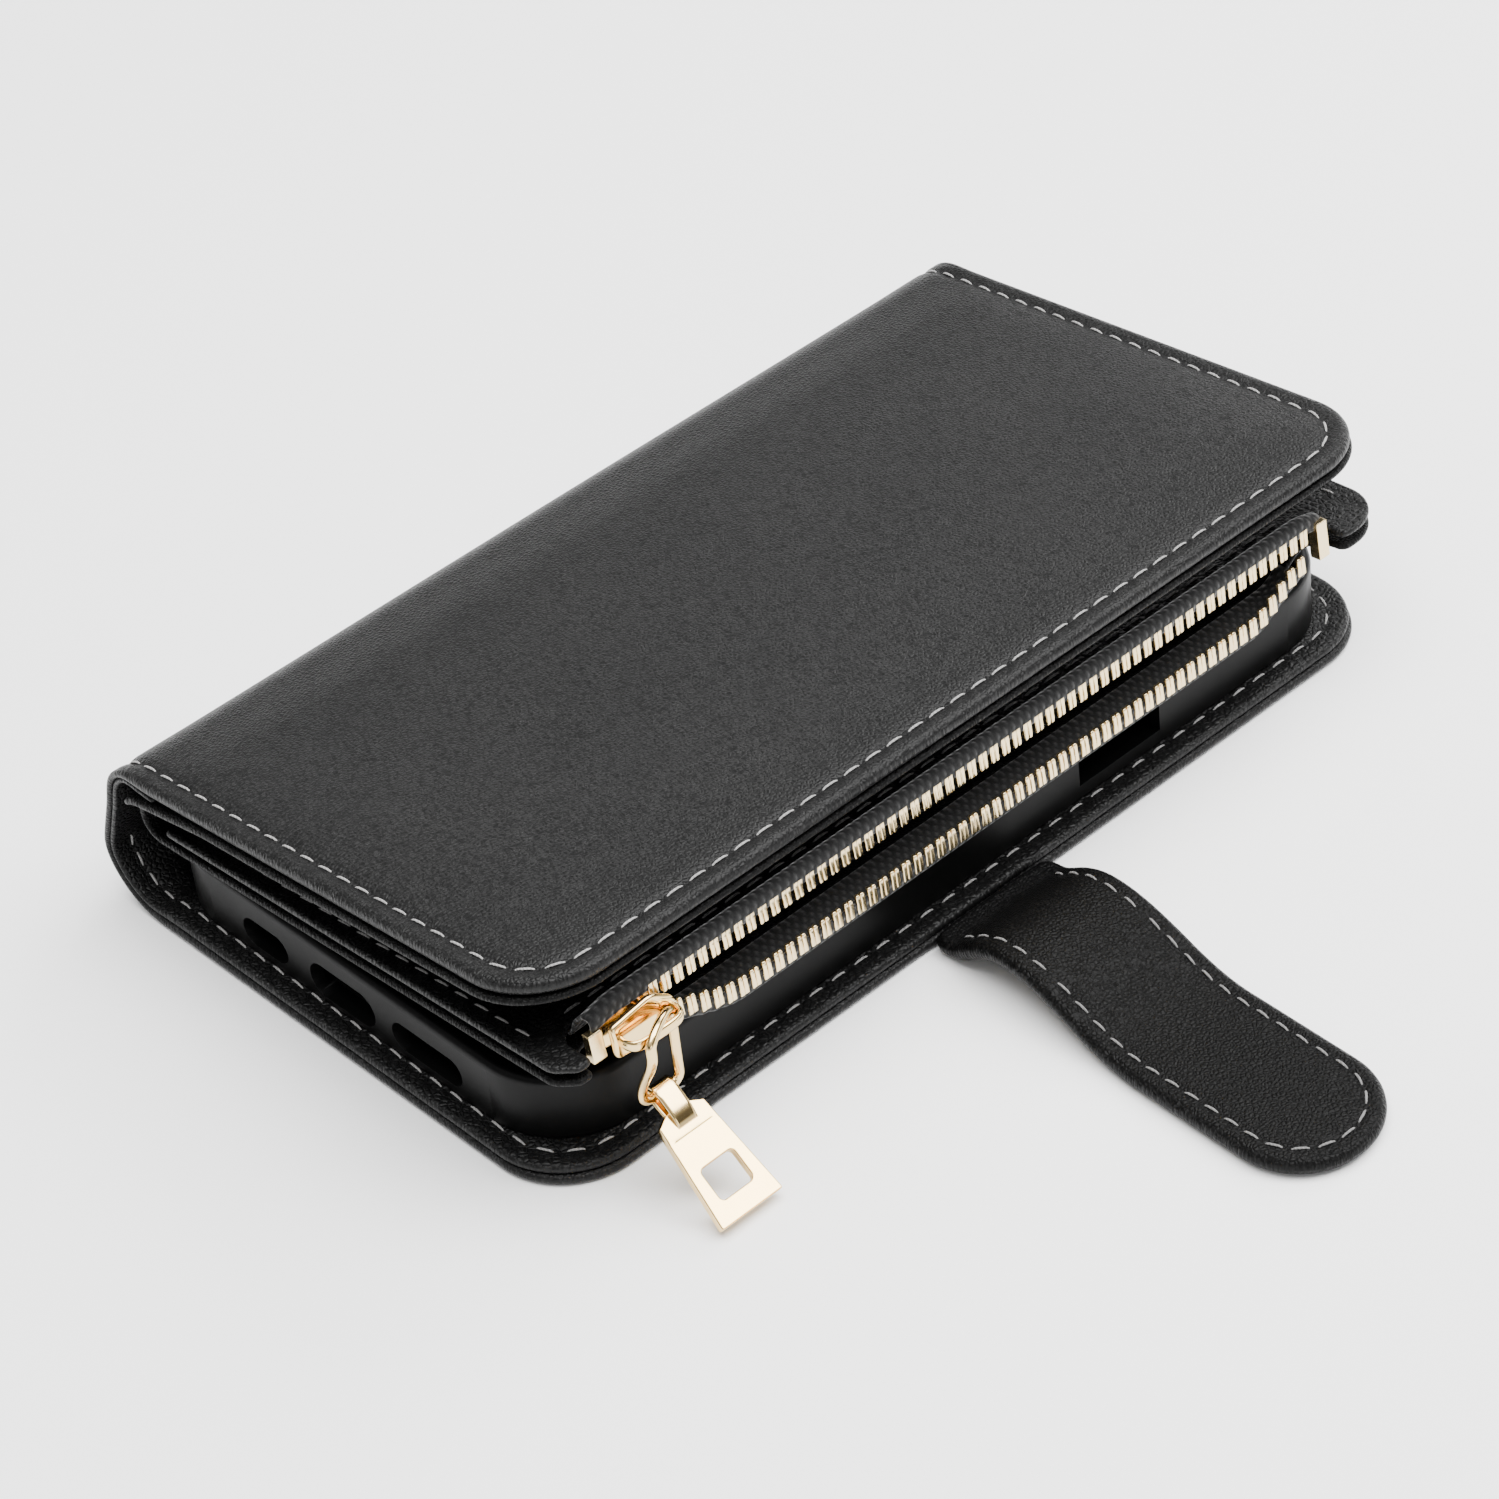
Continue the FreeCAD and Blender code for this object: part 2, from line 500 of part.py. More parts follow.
for i in range(9):
    t = math.pi * i / 8
    ring_path.append(Vector(axis_x + RING_SWING * math.cos(t), near_y + (far_y - near_y) * ease(i / 8),
                            axis_z + RING_SWING * math.sin(t)))
for angle in (0, 22.5, 45, 67.5):
    t = math.radians(angle)
    ring_path.append(Vector(inside_x, far_y - RING_CORNER * (1 - math.cos(t)),
                            corner_z - RING_CORNER * math.sin(t)))


def wire_tube(points):
    """Round wire through the points, with flat ends."""
    sections = []
    for i, point in enumerate(points):
        run = points[min(i + 1, len(points) - 1)].sub(points[max(i - 1, 0)])
        sections.append(Part.Wire(Part.makeCircle(WIRE_R, point, run)))
    return Part.makeLoft(sections, True, True)


half_way = len(ring_path) // 2
save(wire_tube(ring_path[:half_way + 1]).fuse(wire_tube(ring_path[half_way:] + ring_path[:1])), "pull_ring")

# ---- tab: folded round the ring's bottom bar -----------------------------------------------
neck_half = NECK_WIDTH / 2
barrel_bore = WIRE_R + BORE_GAP
half_thick = TAB_THICK / 2
shoulder_half = TAB_WIDTHS[0] / 2
end_half = TAB_WIDTHS[1] / 2
tab_outline = [(0.4, -neck_half), (SHOULDER, -neck_half), (SHOULDER + 1.0, -shoulder_half),
               (TAB_LENGTH, -end_half), (TAB_LENGTH, end_half), (SHOULDER + 1.0, shoulder_half),
               (SHOULDER, neck_half), (0.4, neck_half)]
tab_pts = [Vector(x, y, -half_thick) for x, y in tab_outline]
tab = Part.Face(Part.makePolygon(tab_pts + tab_pts[:1])).extrude(Vector(0, 0, TAB_THICK))
w_len, w_wide, w_end = WINDOW
tab = tab.cut(box(TAB_LENGTH - w_end - w_len, TAB_LENGTH - w_end, -w_wide / 2, w_wide / 2, -3, 3))
barrel = Part.makeCylinder(BARREL_R, NECK_WIDTH, Vector(0, -neck_half, 0), Vector(0, 1, 0))
tab = tab.fuse(barrel)
tab = tab.cut(Part.makeCylinder(barrel_bore, NECK_WIDTH + 2, Vector(0, -neck_half - 1, 0), Vector(0, 1, 0)))
tab.rotate(Vector(0, 0, 0), Vector(0, 1, 0), TAB_TILT)
tab.translate(Vector(inside_x, TAB_Y, RING_BAR_Z))
save(tab, "pull_tab")


# ---- strap --------------------------------------------------------------------------------
def drift(x):
    """Middle line of the strap in plan."""
    (x0, y0), (x1, y1), (x2, y2) = STRAP_DRIFT
    if x < x1:
        return y0 + (y1 - y0) * max(x - x0, 0) / (x1 - x0)
    return y1 + (y2 - y1) * (x - x1) / (x2 - x1)


def strap_plan(x0, x1, half, round_end):
    """The strap's outline in plan as a tall prism."""
    near = [Vector(x0, drift(x0) - half, -5), Vector(x1, drift(x1) - half, -5)]
    far = [Vector(x1, drift(x1) + half, -5), Vector(x0, drift(x0) + half, -5)]
    edges = [Part.makeLine(near[0], near[1]), Part.makeLine(far[0], far[1]), Part.makeLine(far[1], near[0])]
    if round_end:
        edges.insert(1, Part.Arc(near[1], Vector(x1 + half, drift(x1), -5), far[0]).toShape())
    else:
        edges.insert(1, Part.makeLine(near[1], far[0]))
    return Part.Face(Part.Wire(edges)).extrude(Vector(0, 0, 40))


stub_y = (drift(44) - STRAP_HALF, drift(44) + STRAP_HALF)
stub_end = STRAP_HINGE[0] - 1.4
save(box(36.0, stub_end, stub_y[0], stub_y[1], LEATHER, lining_low), "strap_root_tongue")

hump = Part.BSplineCurve()
hump.interpolate([Vector(x, 0, z) for x, z in
                  ((STRAP_HINGE[0] + 1.4, 2.8), (53.5, 6.1), (61.5, 5.7), (70.0, 3.0),
                   (STRAP_FOLD[0] - 2.2, 1.5))])
first, last = hump.FirstParameter, hump.LastParameter
hump_path = []
for i in range(25):
    p = hump.value(first + (last - first) * i / 24)
    hump_path.append((p.x, p.z))
root_plan = strap_plan(44.0, STRAP_FOLD[0], STRAP_HALF, False)
tip_plan = strap_plan(STRAP_FOLD[0], STRAP_TIP - STRAP_HALF, STRAP_HALF, True)
half_strap = STRAP_THICK / 2
wide = (-20, 20)
save(sheet(hump_path, -half_strap, -STRAP_CORE, *wide).common(root_plan), "strap_leather_root")
save(sheet(hump_path, STRAP_CORE, half_strap, *wide).common(root_plan), "strap_lining_root")
filler_path = [STRAP_HINGE] + hump_path + [STRAP_FOLD]
filler = sheet(filler_path, -STRAP_CORE, STRAP_CORE, *wide)
for hinge, radius in ((STRAP_HINGE, 0.95), (STRAP_FOLD, 1.2)):
    filler = filler.fuse(bar_y(hinge[0], hinge[1], radius, *wide))
for side in ((-half_strap, -STRAP_CORE), (STRAP_CORE, half_strap)):
    filler = filler.cut(sheet(hump_path, *side, *wide))
filler = filler.common(strap_plan(43.0, STRAP_FOLD[0] + 1.3, STRAP_HALF - STRAP_SEAM, False))
save(filler, "strap_filler_root")
tip_path = [(STRAP_FOLD[0] + 2.2, STRAP_FOLD[1]), (STRAP_TIP + 2, STRAP_FOLD[1])]
save(sheet(tip_path, -half_strap, -STRAP_CORE, *wide).common(tip_plan), "strap_leather_tip")
save(sheet(tip_path, STRAP_CORE, half_strap, *wide).common(tip_plan), "strap_lining_tip")
magnet_x = STRAP_TIP - 13.0
magnet = box(magnet_x - MAGNET[0] / 2, magnet_x + MAGNET[0] / 2, drift(magnet_x) - MAGNET[1] / 2,
             drift(magnet_x) + MAGNET[1] / 2, STRAP_FOLD[1] - STRAP_CORE, STRAP_FOLD[1] + STRAP_CORE)
inner_plan = strap_plan(STRAP_FOLD[0], STRAP_TIP - STRAP_HALF, STRAP_HALF - STRAP_SEAM, True)
save(sheet(tip_path, -STRAP_CORE, STRAP_CORE, *wide).common(inner_plan).cut(magnet), "strap_filler_tip")
save(magnet, "magnet_strap")
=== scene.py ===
from math import atan, atan2, copysign, cos, degrees, dist, exp, hypot, pi, radians, sin, sqrt, tan

import bmesh
import bpy
import numpy as np
from mathutils import Matrix, Vector
from mathutils.geometry import delaunay_2d_cdt


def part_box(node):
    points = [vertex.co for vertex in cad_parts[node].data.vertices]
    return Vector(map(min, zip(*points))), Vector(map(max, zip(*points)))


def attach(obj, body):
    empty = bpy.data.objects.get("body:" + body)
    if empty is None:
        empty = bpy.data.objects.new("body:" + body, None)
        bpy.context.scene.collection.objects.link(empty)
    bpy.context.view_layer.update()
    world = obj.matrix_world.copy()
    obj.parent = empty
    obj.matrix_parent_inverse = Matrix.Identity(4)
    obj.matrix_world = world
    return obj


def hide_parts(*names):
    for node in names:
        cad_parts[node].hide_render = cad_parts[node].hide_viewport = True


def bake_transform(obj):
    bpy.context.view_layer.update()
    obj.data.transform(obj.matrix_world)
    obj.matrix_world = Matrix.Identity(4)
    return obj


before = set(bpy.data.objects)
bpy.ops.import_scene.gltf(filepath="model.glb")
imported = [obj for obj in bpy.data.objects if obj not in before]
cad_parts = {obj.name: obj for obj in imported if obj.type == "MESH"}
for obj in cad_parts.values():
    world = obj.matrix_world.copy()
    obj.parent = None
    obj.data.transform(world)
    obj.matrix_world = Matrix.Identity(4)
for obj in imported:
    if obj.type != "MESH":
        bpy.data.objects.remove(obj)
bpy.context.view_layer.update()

# Phone wallet with a zip pocket. Lengths are millimetres; MM turns them into Blender's metres.
# X runs from the spine to the zip and the strap, Y along the spine, Z up.
MM = 0.001


def box_mm(node):
    """Lowest and highest corner of a CAD node in millimetres."""
    low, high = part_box(node)
    return Vector(low) / MM, Vector(high) / MM


# ---- dimensions
back_corner = box_mm("wrap_leather_back")[1]
page_corner = box_mm("page_upper_panel")[1]

COVER_RIGHT = back_corner.x  # free edge of both covers
HALF = back_corner.y  # half the covers' length
CORNER_R = 12.0
BACK_LEFT, BACK_BEND_R = -44.0, 10.6
FRONT_LEFT, FRONT_BEND_R = -44.0, 7.0
FRONT_SLOPE = 0.102
FRONT_Z = box_mm("wrap_leather_front")[1].z - FRONT_SLOPE * COVER_RIGHT
LOW_HINGE, HIGH_HINGE = (-53.2, 7.95), (-49.2, 20.9)
SPINE_OUT = 1.0  # hinge axes to the outside of the leather
LINING_INSET = 0.25  # linings end this far inside the covers' near and far edges
BACK_INSET = 0.35  # and the back's lining this far inside its free edge
SEAM_START = 3.4  # from the middle of the spine to the first stitch
SPINE_LEATHER, SPINE_TOTAL = 1.1, 2.0
BACK_LEATHER, BACK_TOTAL = 1.55, 3.0
FRONT_SLAB = 2.35  # padded cover above the inner panel
COVER_STACK = 3.6  # top of the cover to the underside of the inner panel
PANEL = 1.1  # thickness of the inner panel and of the page's leather

FOLD_AXIS, FOLD_R = (-42.0, 18.0), 3.7
PAGE_HALF = page_corner.y
PAGE_LEFT, PAGE_RIGHT = -40.2, page_corner.x
PAGE_Z, PAGE_SLOPE = 17.35, 0.0726
PAGE_UPPER = 2.2  # underside of the page to the underside of its upper panel
PAGE_SEAM, ZIP_SEAM = 2.7, 2.2  # its stitches to its ends, and to the zip's recess
POUCH_DEPTH, POUCH_END = 5.2, 9.0
RECESS_X, LOWER_RECESS_X = 35.6, 37.4
RECESS_Y = (-72.4, 67.6)
TUCK = 1.4  # how far the tapes reach in under the leather
TAPE_THICK, TAPE_STEP = 0.45, 0.9

ZIP_X, ZIP_Z, ZIP_TILT = 40.6, 22.9, 6.0
TOOTH = (1.5, 1.15, 2.8)  # the CAD's tooth
TOOTH_SHARES = (0.25, 0.33, 0.5)  # half the drawn tooth, as shares of it
SLIDER_TAIL, SLIDER_NOSE = -68.6, -58.0
BLADE_OUT = 1.1  # middle of the zip to the inner face of each blade
BAIL_AXIS = 4.95
RING_SWING, RING_HALF, RING_CORNER, RING_BAR_Z = 1.55, 3.1, 1.25, 12.4
RING_MIDDLE_Z = 18.0
TAB_Y, TAB_TILT, TAB_LENGTH = -63.3, 36.6, 18.8
NECK_HALF, SHOULDER, SHOULDER_HALF, END_HALF = 1.7, 3.4, 3.8, 5.2
PLATE_HALF, NECK_THICK, TAB_CREASE = 0.62, 0.55, 6.5
WINDOW = (4.8, 5.6, 3.0)  # length, width and distance from the free end

CAMERA_HOLE = ((-3.6, 37.4), (31.6, 72.6), 8.6)  # two corners and their radius
STRAP_HALF, STRAP_THICK, STRAP_CORNER = 11.2, 2.8, 11.0
STRAP_LINE = ((40.6, 1.5), (43.2, 1.5), (45.2, 1.85), (46.9, 2.8), (50.0, 4.8), (53.5, 6.1),
              (57.5, 6.3), (61.5, 5.7), (66.0, 4.4), (70.0, 3.0), (74.0, 1.95), (77.7, 1.5),
              (82.0, 1.5), (90.0, 1.5), (100.0, 1.5), (112.0, 1.5))
STRAP_DRIFT = ((45.0, -2.0), (80.0, -4.2), (109.5, -5.0))
STRAP_TIP, STRAP_SPLIT = 109.5, 61.5

STITCH_IN = 3.1  # stitch line to the edge
STITCH_PITCH, STITCH_DASH, THREAD_R = 3.85, 2.7, 0.155
BACK_PITCH = 4.1
STRAP_SEAM, STRAP_PITCH, STRAP_DASH = 2.6, 3.4, 2.4
CREASE = 48  # degrees from which an edge is drawn sharp


# ---- curves
def arc(centre, radius, start, end, count=14):
    angles = [radians(start + (end - start) * i / (count - 1)) for i in range(count)]
    return [(centre[0] + radius * cos(t), centre[1] + radius * sin(t)) for t in angles]


def smooth_through(points, steps=8):
    """Catmull-Rom curve through points of any dimension."""
    pts = [np.array(p, float) for p in points]
    pts = [2 * pts[0] - pts[1]] + pts + [2 * pts[-1] - pts[-2]]
    out = []
    for a, b, c, d in zip(pts, pts[1:], pts[2:], pts[3:]):
        for i in range(steps):
            t = i / steps
            out.append(0.5 * (2 * b + (c - a) * t + (2 * a - 5 * b + 4 * c - d) * t * t
                              + (3 * b - a - 3 * c + d) * t ** 3))
    return out + [pts[-2]]


def ease(t):
    t = min(max(t, 0.0), 1.0)
    return t * t * (3 - 2 * t)


class Path:
    """A smooth line in XZ, measured from its start; h is the distance to its left."""

    def __init__(self, points, soften=0):
        dense = []
        for a, b in zip(points, points[1:]):
            steps = max(1, int(dist(a, b) / 0.5))
            dense += [(a[0] + (b[0] - a[0]) * i / steps, a[1] + (b[1] - a[1]) * i / steps)
                      for i in range(steps)]
        line = np.array(dense + [points[-1]], float)
        for _ in range(soften):
            line[1:-1] += 0.5 * ((line[:-2] + line[2:]) / 2 - line[1:-1])
        self.line = line
        self.at = np.concatenate([[0], np.cumsum(np.hypot(*np.diff(line, axis=0).T))])
        slope = np.gradient(line, axis=0)
        slope /= np.hypot(slope[:, 0], slope[:, 1])[:, None]
        self.normal = np.stack([-slope[:, 1], slope[:, 0]], 1)
        self.length = self.at[-1]

    def place(self, u, h):
        spot = [np.interp(u, self.at, self.line[:, k])
                + h * np.interp(u, self.at, self.normal[:, k]) for k in (0, 1)]
        beyond = max(u - self.length, 0) + min(u, 0)
        if beyond:
            n = self.normal[-1 if beyond > 0 else 0]
            spot = [spot[0] + n[1] * beyond, spot[1] - n[0] * beyond]
        return spot

    def nearest(self, x, z):
        return float(self.at[np.argmin(np.hypot(self.line[:, 0] - x, self.line[:, 1] - z))])


def fillet(corners, step=1.0):
    """A closed outline from (u, v, radius) corners: straight runs and round corners."""
    out = []
    count = len(corners)
    for i, (u, v, radius) in enumerate(corners):
        p = Vector((u, v))
        a = (Vector(corners[i - 1][:2]) - p).normalized()
        b = (Vector(corners[(i + 1) % count][:2]) - p).normalized()
        if radius <= 0:
            out.append(p)
            continue
        half = a.angle(b) / 2
        reach = radius / tan(half)
        centre = p + (a + b).normalized() * (radius / sin(half))
        start, end = p + a * reach - centre, p + b * reach - centre
        turn = atan2(start.x * end.y - start.y * end.x, start.dot(end))
        steps = max(5, int(abs(turn) * radius / 0.9))
        for k in range(steps + 1):
            out.append(centre + Matrix.Rotation(turn * k / steps, 2) @ start)
    dense = []
    for a, b in zip(out, out[1:] + out[:1]):
        steps = max(1, round((b - a).length / step))
        dense += [a.lerp(b, i / steps) for i in range(steps)]
    return [p for i, p in enumerate(dense) if (p - dense[i - 1]).length > 0.05]


def strip(start, start_r, end, end_r, half):
    """Outline of a strip from u = start to end, half wide each way, with its corners' radii."""
    return fillet([(start, -half, start_r), (end, -half, end_r),
                   (end, half, end_r), (start, half, start_r)])


def inward(outline):
    """Unit directions to the inside at each point of a counter-clockwise outline."""
    out = []
    for a, p, b in zip(outline[-1:] + outline[:-1], outline, outline[1:] + outline[:1]):
        e, f = (p - a).normalized(), (b - p).normalized()
        n = Vector((-(e.y + f.y), e.x + f.x))
        n.normalize()
        out.append(n / max(n.dot(Vector((-e.y, e.x))), 0.7))
    return out


def counter_clockwise(outline):
    area = sum(a.x * b.y - b.x * a.y for a, b in zip(outline, outline[1:] + outline[:1]))
    return outline if area > 0 else outline[::-1]


def inside(points, outline):
    """For each point: is it inside the outline, and how far is it from it?"""
    p = np.array(points)[:, None, :]
    a = np.array([tuple(q) for q in outline])[None]
    b = np.roll(a, -1, axis=1)
    crosses = (a[..., 1] > p[..., 1]) != (b[..., 1] > p[..., 1])
    run = np.where(b[..., 1] == a[..., 1], 1e-12, b[..., 1] - a[..., 1])
    where = a[..., 0] + (p[..., 1] - a[..., 1]) * (b[..., 0] - a[..., 0]) / run
    within = (crosses & (p[..., 0] < where)).sum(1) % 2 == 1
    return within, np.hypot(p[..., 0] - a[..., 0], p[..., 1] - a[..., 1]).min(1)


# ---- mesh builders
INSIDE = 1  # triangulate inside the outline only
RIM = (0.0, 0.05, 0.17, 0.36, 0.62, 1.0, 1.3)  # rows of a rounded rim, in rim radii inwards
FLAT_RIM = 0.02  # in place of the rim's radius at a flat end
ON_CUT = 1e-4
CLEAR = 0.45  # least room around a free point of a sheet


def to_object(name, bm, material):
    """An object from a mesh in millimetres."""
    bmesh.ops.recalc_face_normals(bm, faces=bm.faces)
    mesh = bpy.data.meshes.new(name)
    bm.to_mesh(mesh)
    bm.free()
    mesh.transform(Matrix.Scale(MM, 4))
    mesh.shade_smooth()
    mesh.set_sharp_from_angle(angle=radians(CREASE))
    mesh.materials.append(material)
    piece = bpy.data.objects.new(name, mesh)
    bpy.context.collection.objects.link(piece)
    return piece


def slab(name, material, outline, lift, low, high, edge, holes=(), rings=(), step=(2.4, 4.0),
         fine=None, cut=None):
    """A closed sheet over a flat outline with holes, with rounded rims. lift(u, v, h) places a
    point; low and high give the two faces' h at (u, v), and edge the rim's radius there. rings
    are distances from the outline that get their own points, and fine(u) a spacing in place of
    step's first. cut is the u where the sheet ends flat against its other half."""
    loops = [counter_clockwise(outline)] + [counter_clockwise(h)[::-1] for h in holes]
    side = max(abs(p.y) for p in outline)

    def at_cut(p):
        return cut is not None and abs(p.x - cut) < ON_CUT

    loops[0] = [p for p in loops[0] if not at_cut(p) or not ON_CUT < side - abs(p.y) < 2.0]
    bm = bmesh.new()
    uv_layer = bm.loops.layers.uv.new("flat")
    spots = {}

    def vertex(u, v, h):
        x, y, z = lift(u, v, h)
        new = bm.verts.new((x, y, z))
        spots[new] = (u / 100, v / 100)
        return new

    def face(corners):
        made = bm.faces.new(corners)
        for loop in made.loops:
            loop[uv_layer].uv = spots[loop.vert]

    last = []
    for loop in loops:
        grid = []
        for p, n in zip(loop, inward(loop)):
            r = edge(p.x, p.y)
            flat_end = at_cut(p) and side - abs(p.y) > ON_CUT
            if at_cut(p) and not flat_end:
                n = Vector((0, -copysign(1, p.y)))
            row = []
            for share in RIM:
                q = p + n * share * (FLAT_RIM if flat_end else r)
                drop = 0 if flat_end else r - r * sqrt(1 - (1 - min(share, 1.0)) ** 2)
                row.append((q, vertex(q.x, q.y, high(q.x, q.y) - drop),
                            vertex(q.x, q.y, low(q.x, q.y) + drop)))
            grid.append(row)
        for a, b in zip(grid, grid[1:] + grid[:1]):
            face([a[0][2], b[0][2], b[0][1], a[0][1]])
            for k in range(len(RIM) - 1):
                face([a[k][1], b[k][1], b[k + 1][1], a[k + 1][1]])
                face([a[k][2], a[k + 1][2], b[k + 1][2], b[k][2]])
        last.append([row[-1] for row in grid])
    flat = [[item[0] for item in ring] for ring in last]
    us = [q.x for q in flat[0]]
    vs = [q.y for q in flat[0]]
    fill = []
    u = min(us)
    while u < max(us):
        u += fine(u) if fine else step[0]
        shift = 0.5 * step[1] * (len(fill) % 2)
        fill += [(u, v + shift) for v in np.arange(min(vs), max(vs), step[1])]
    deepest = max(rings, default=0.0)
    outer = loops[0]
    clear = [deepest + 0.4] * len(fill)
    for d in rings:
        moved = [tuple(p + n * d) for p, n in zip(outer, inward(outer))]
        fill += moved
        clear += [d - 0.02] * len(moved)
    keep, away = inside(fill, outer)
    keep &= away > np.array(clear)
    keep &= inside(fill, flat[0])[1] > CLEAR
    for inner in flat[1:]:
        within, away = inside(fill, inner)
        keep &= ~within & (away > CLEAR)
    fill = [Vector(p) for p, k in zip(fill, keep) if k]
    points, edges, known, ring_of = [], [], [], []
    for which, ring in enumerate(last):
        start = len(points)
        ring_of += [which] * len(ring)
        points += [item[0] for item in ring]
        known += [(item[1], item[2]) for item in ring]
        edges += [(start + i, start + (i + 1) % len(ring)) for i in range(len(ring))]
    points += fill
    ring_of += [0] * len(fill)
    known += [(vertex(p.x, p.y, high(p.x, p.y)), vertex(p.x, p.y, low(p.x, p.y)))
              for p in fill]
    found = delaunay_2d_cdt(points, edges, [], INSIDE, 1e-6)
    sources = [ids[0] for ids in found[3]]
    for tri in found[2]:
        around = {ring_of[sources[i]] for i in tri}
        if len(around) == 1 and 0 not in around:
            continue  # the triangle lies in a hole
        face([known[sources[i]][0] for i in tri])
        face([known[sources[i]][1] for i in reversed(tri)])
    bmesh.ops.remove_doubles(bm, verts=bm.verts, dist=1e-4)
    bmesh.ops.holes_fill(bm, edges=[e for e in bm.edges if e.is_boundary], sides=8)
    return to_object(name, bm, material)


def wall(bm, rows, closed=False):
    """Faces between rows of vertices that run round a shape."""
    for a, b in zip(rows, rows[1:] + rows[:1] if closed else rows[1:]):
        for a0, a1, b1, b0 in zip(a, a[1:] + a[:1], b[1:] + b[:1], b):
            bm.faces.new([a0, a1, b1, b0])


def tube(name, material, points, wide, tall, across, sides, closed=True):
    """A tube of oval section on a line of points; across is the direction of its wide side.
    wide and tall are half the section's size."""
    bm = bmesh.new()
    count = len(points)
    rows = []
    for i, p in enumerate(points):
        p = Vector(p)
        before = Vector(points[i - 1] if closed or i else points[i])
        after = Vector(points[(i + 1) % count] if closed or i < count - 1 else points[i])
        along = (after - before).normalized()
        side = Vector(across(p) if callable(across) else across)
        side = (side - along * side.dot(along)).normalized()
        up = along.cross(side)
        rows.append([bm.verts.new(p + side * wide * cos(t) + up * tall * sin(t))
                     for t in (2 * pi * k / sides for k in range(sides))])
    wall(bm, rows, closed)
    if not closed:
        bm.faces.new(rows[0])
        bm.faces.new(rows[-1][::-1])
    return to_object(name, bm, material)


def ribbon(name, material, rows, thick):
    """A cloth strip through rows of points, given a thickness."""
    bm = bmesh.new()
    uv_layer = bm.loops.layers.uv.new("flat")
    grid = [[bm.verts.new(p) for p in row] for row in rows]
    across = [0.0]
    for a, b in zip(rows[0], rows[0][1:]):
        across.append(across[-1] + (Vector(b) - Vector(a)).length)
    for i in range(len(rows) - 1):
        for k in range(len(rows[0]) - 1):
            corners = ((i, k), (i + 1, k), (i + 1, k + 1), (i, k + 1))
            face = bm.faces.new([grid[r][c] for r, c in corners])
            for loop, (r, c) in zip(face.loops, corners):
                loop[uv_layer].uv = (across[c] / 100, rows[r][c][1] / 100)
    piece = to_object(name, bm, material)
    shell = piece.modifiers.new("thickness", "SOLIDIFY")
    shell.thickness = thick * MM
    shell.offset = 0
    return bake(piece)


def bake(piece):
    """Applies a piece's modifiers."""
    graph = bpy.context.evaluated_depsgraph_get()
    mesh = bpy.data.meshes.new_from_object(piece.evaluated_get(graph))
    piece.modifiers.clear()
    piece.data = mesh
    mesh.shade_smooth()
    return piece


def join(name, pieces):
    """One object from several."""
    bm = bmesh.new()
    for piece in pieces:
        bm.from_mesh(piece.data)
    mesh = bpy.data.meshes.new(name)
    bm.to_mesh(mesh)
    bm.free()
    mesh.materials.append(pieces[0].data.materials[0])
    for piece in pieces:
        bpy.data.objects.remove(piece)
    whole = bpy.data.objects.new(name, mesh)
    bpy.context.collection.objects.link(whole)
    return whole


def stitches(name, material, line, lift, surface, dash=STITCH_DASH, pitch=STITCH_PITCH,
             radius=THREAD_R):
    """Separate stitches along a line on a sheet: each rises from one needle hole and dives into
    the next. surface(u, v) is the h they lie on."""
    line = [Vector(p) for p in line]
    at = [0.0]
    for a, b in zip(line, line[1:]):
        at.append(at[-1] + (b - a).length)

    def spot(s):
        return [float(np.interp(s, at, [p[k] for p in line])) for k in (0, 1)]

    bm = bmesh.new()
    count = int(at[-1] / pitch)
    pitch = at[-1] / max(count, 1)
    sides = 8
    for n in range(count):
        middle = (n + 0.5) * pitch
        rows = []
        for t in (-1.0, -0.85, -0.5, 0.0, 0.5, 0.85, 1.0):
            s = middle + t * dash / 2
            u, v = spot(s)
            ahead, behind = spot(s + 0.2), spot(s - 0.2)
            h = surface(u, v) + radius * (1.1 - 2.0 * t ** 4)
            p = Vector(lift(u, v + 0.1 * t, h))
            along = Vector(lift(*ahead, h)) - Vector(lift(*behind, h))
            up = (Vector(lift(u, v, h + 1)) - Vector(lift(u, v, h))).normalized()
            side = along.cross(up).normalized()
            thick = radius * (1 - 0.45 * t * t)
            turns = (2 * pi * k / sides for k in range(sides))
            rows.append([bm.verts.new(p + side * thick * 1.15 * cos(a)
                                      + up * thick * sin(a)) for a in turns])
        wall(bm, rows)
        bm.faces.new(rows[0])
        bm.faces.new(rows[-1])
    return to_object(name, bm, material)


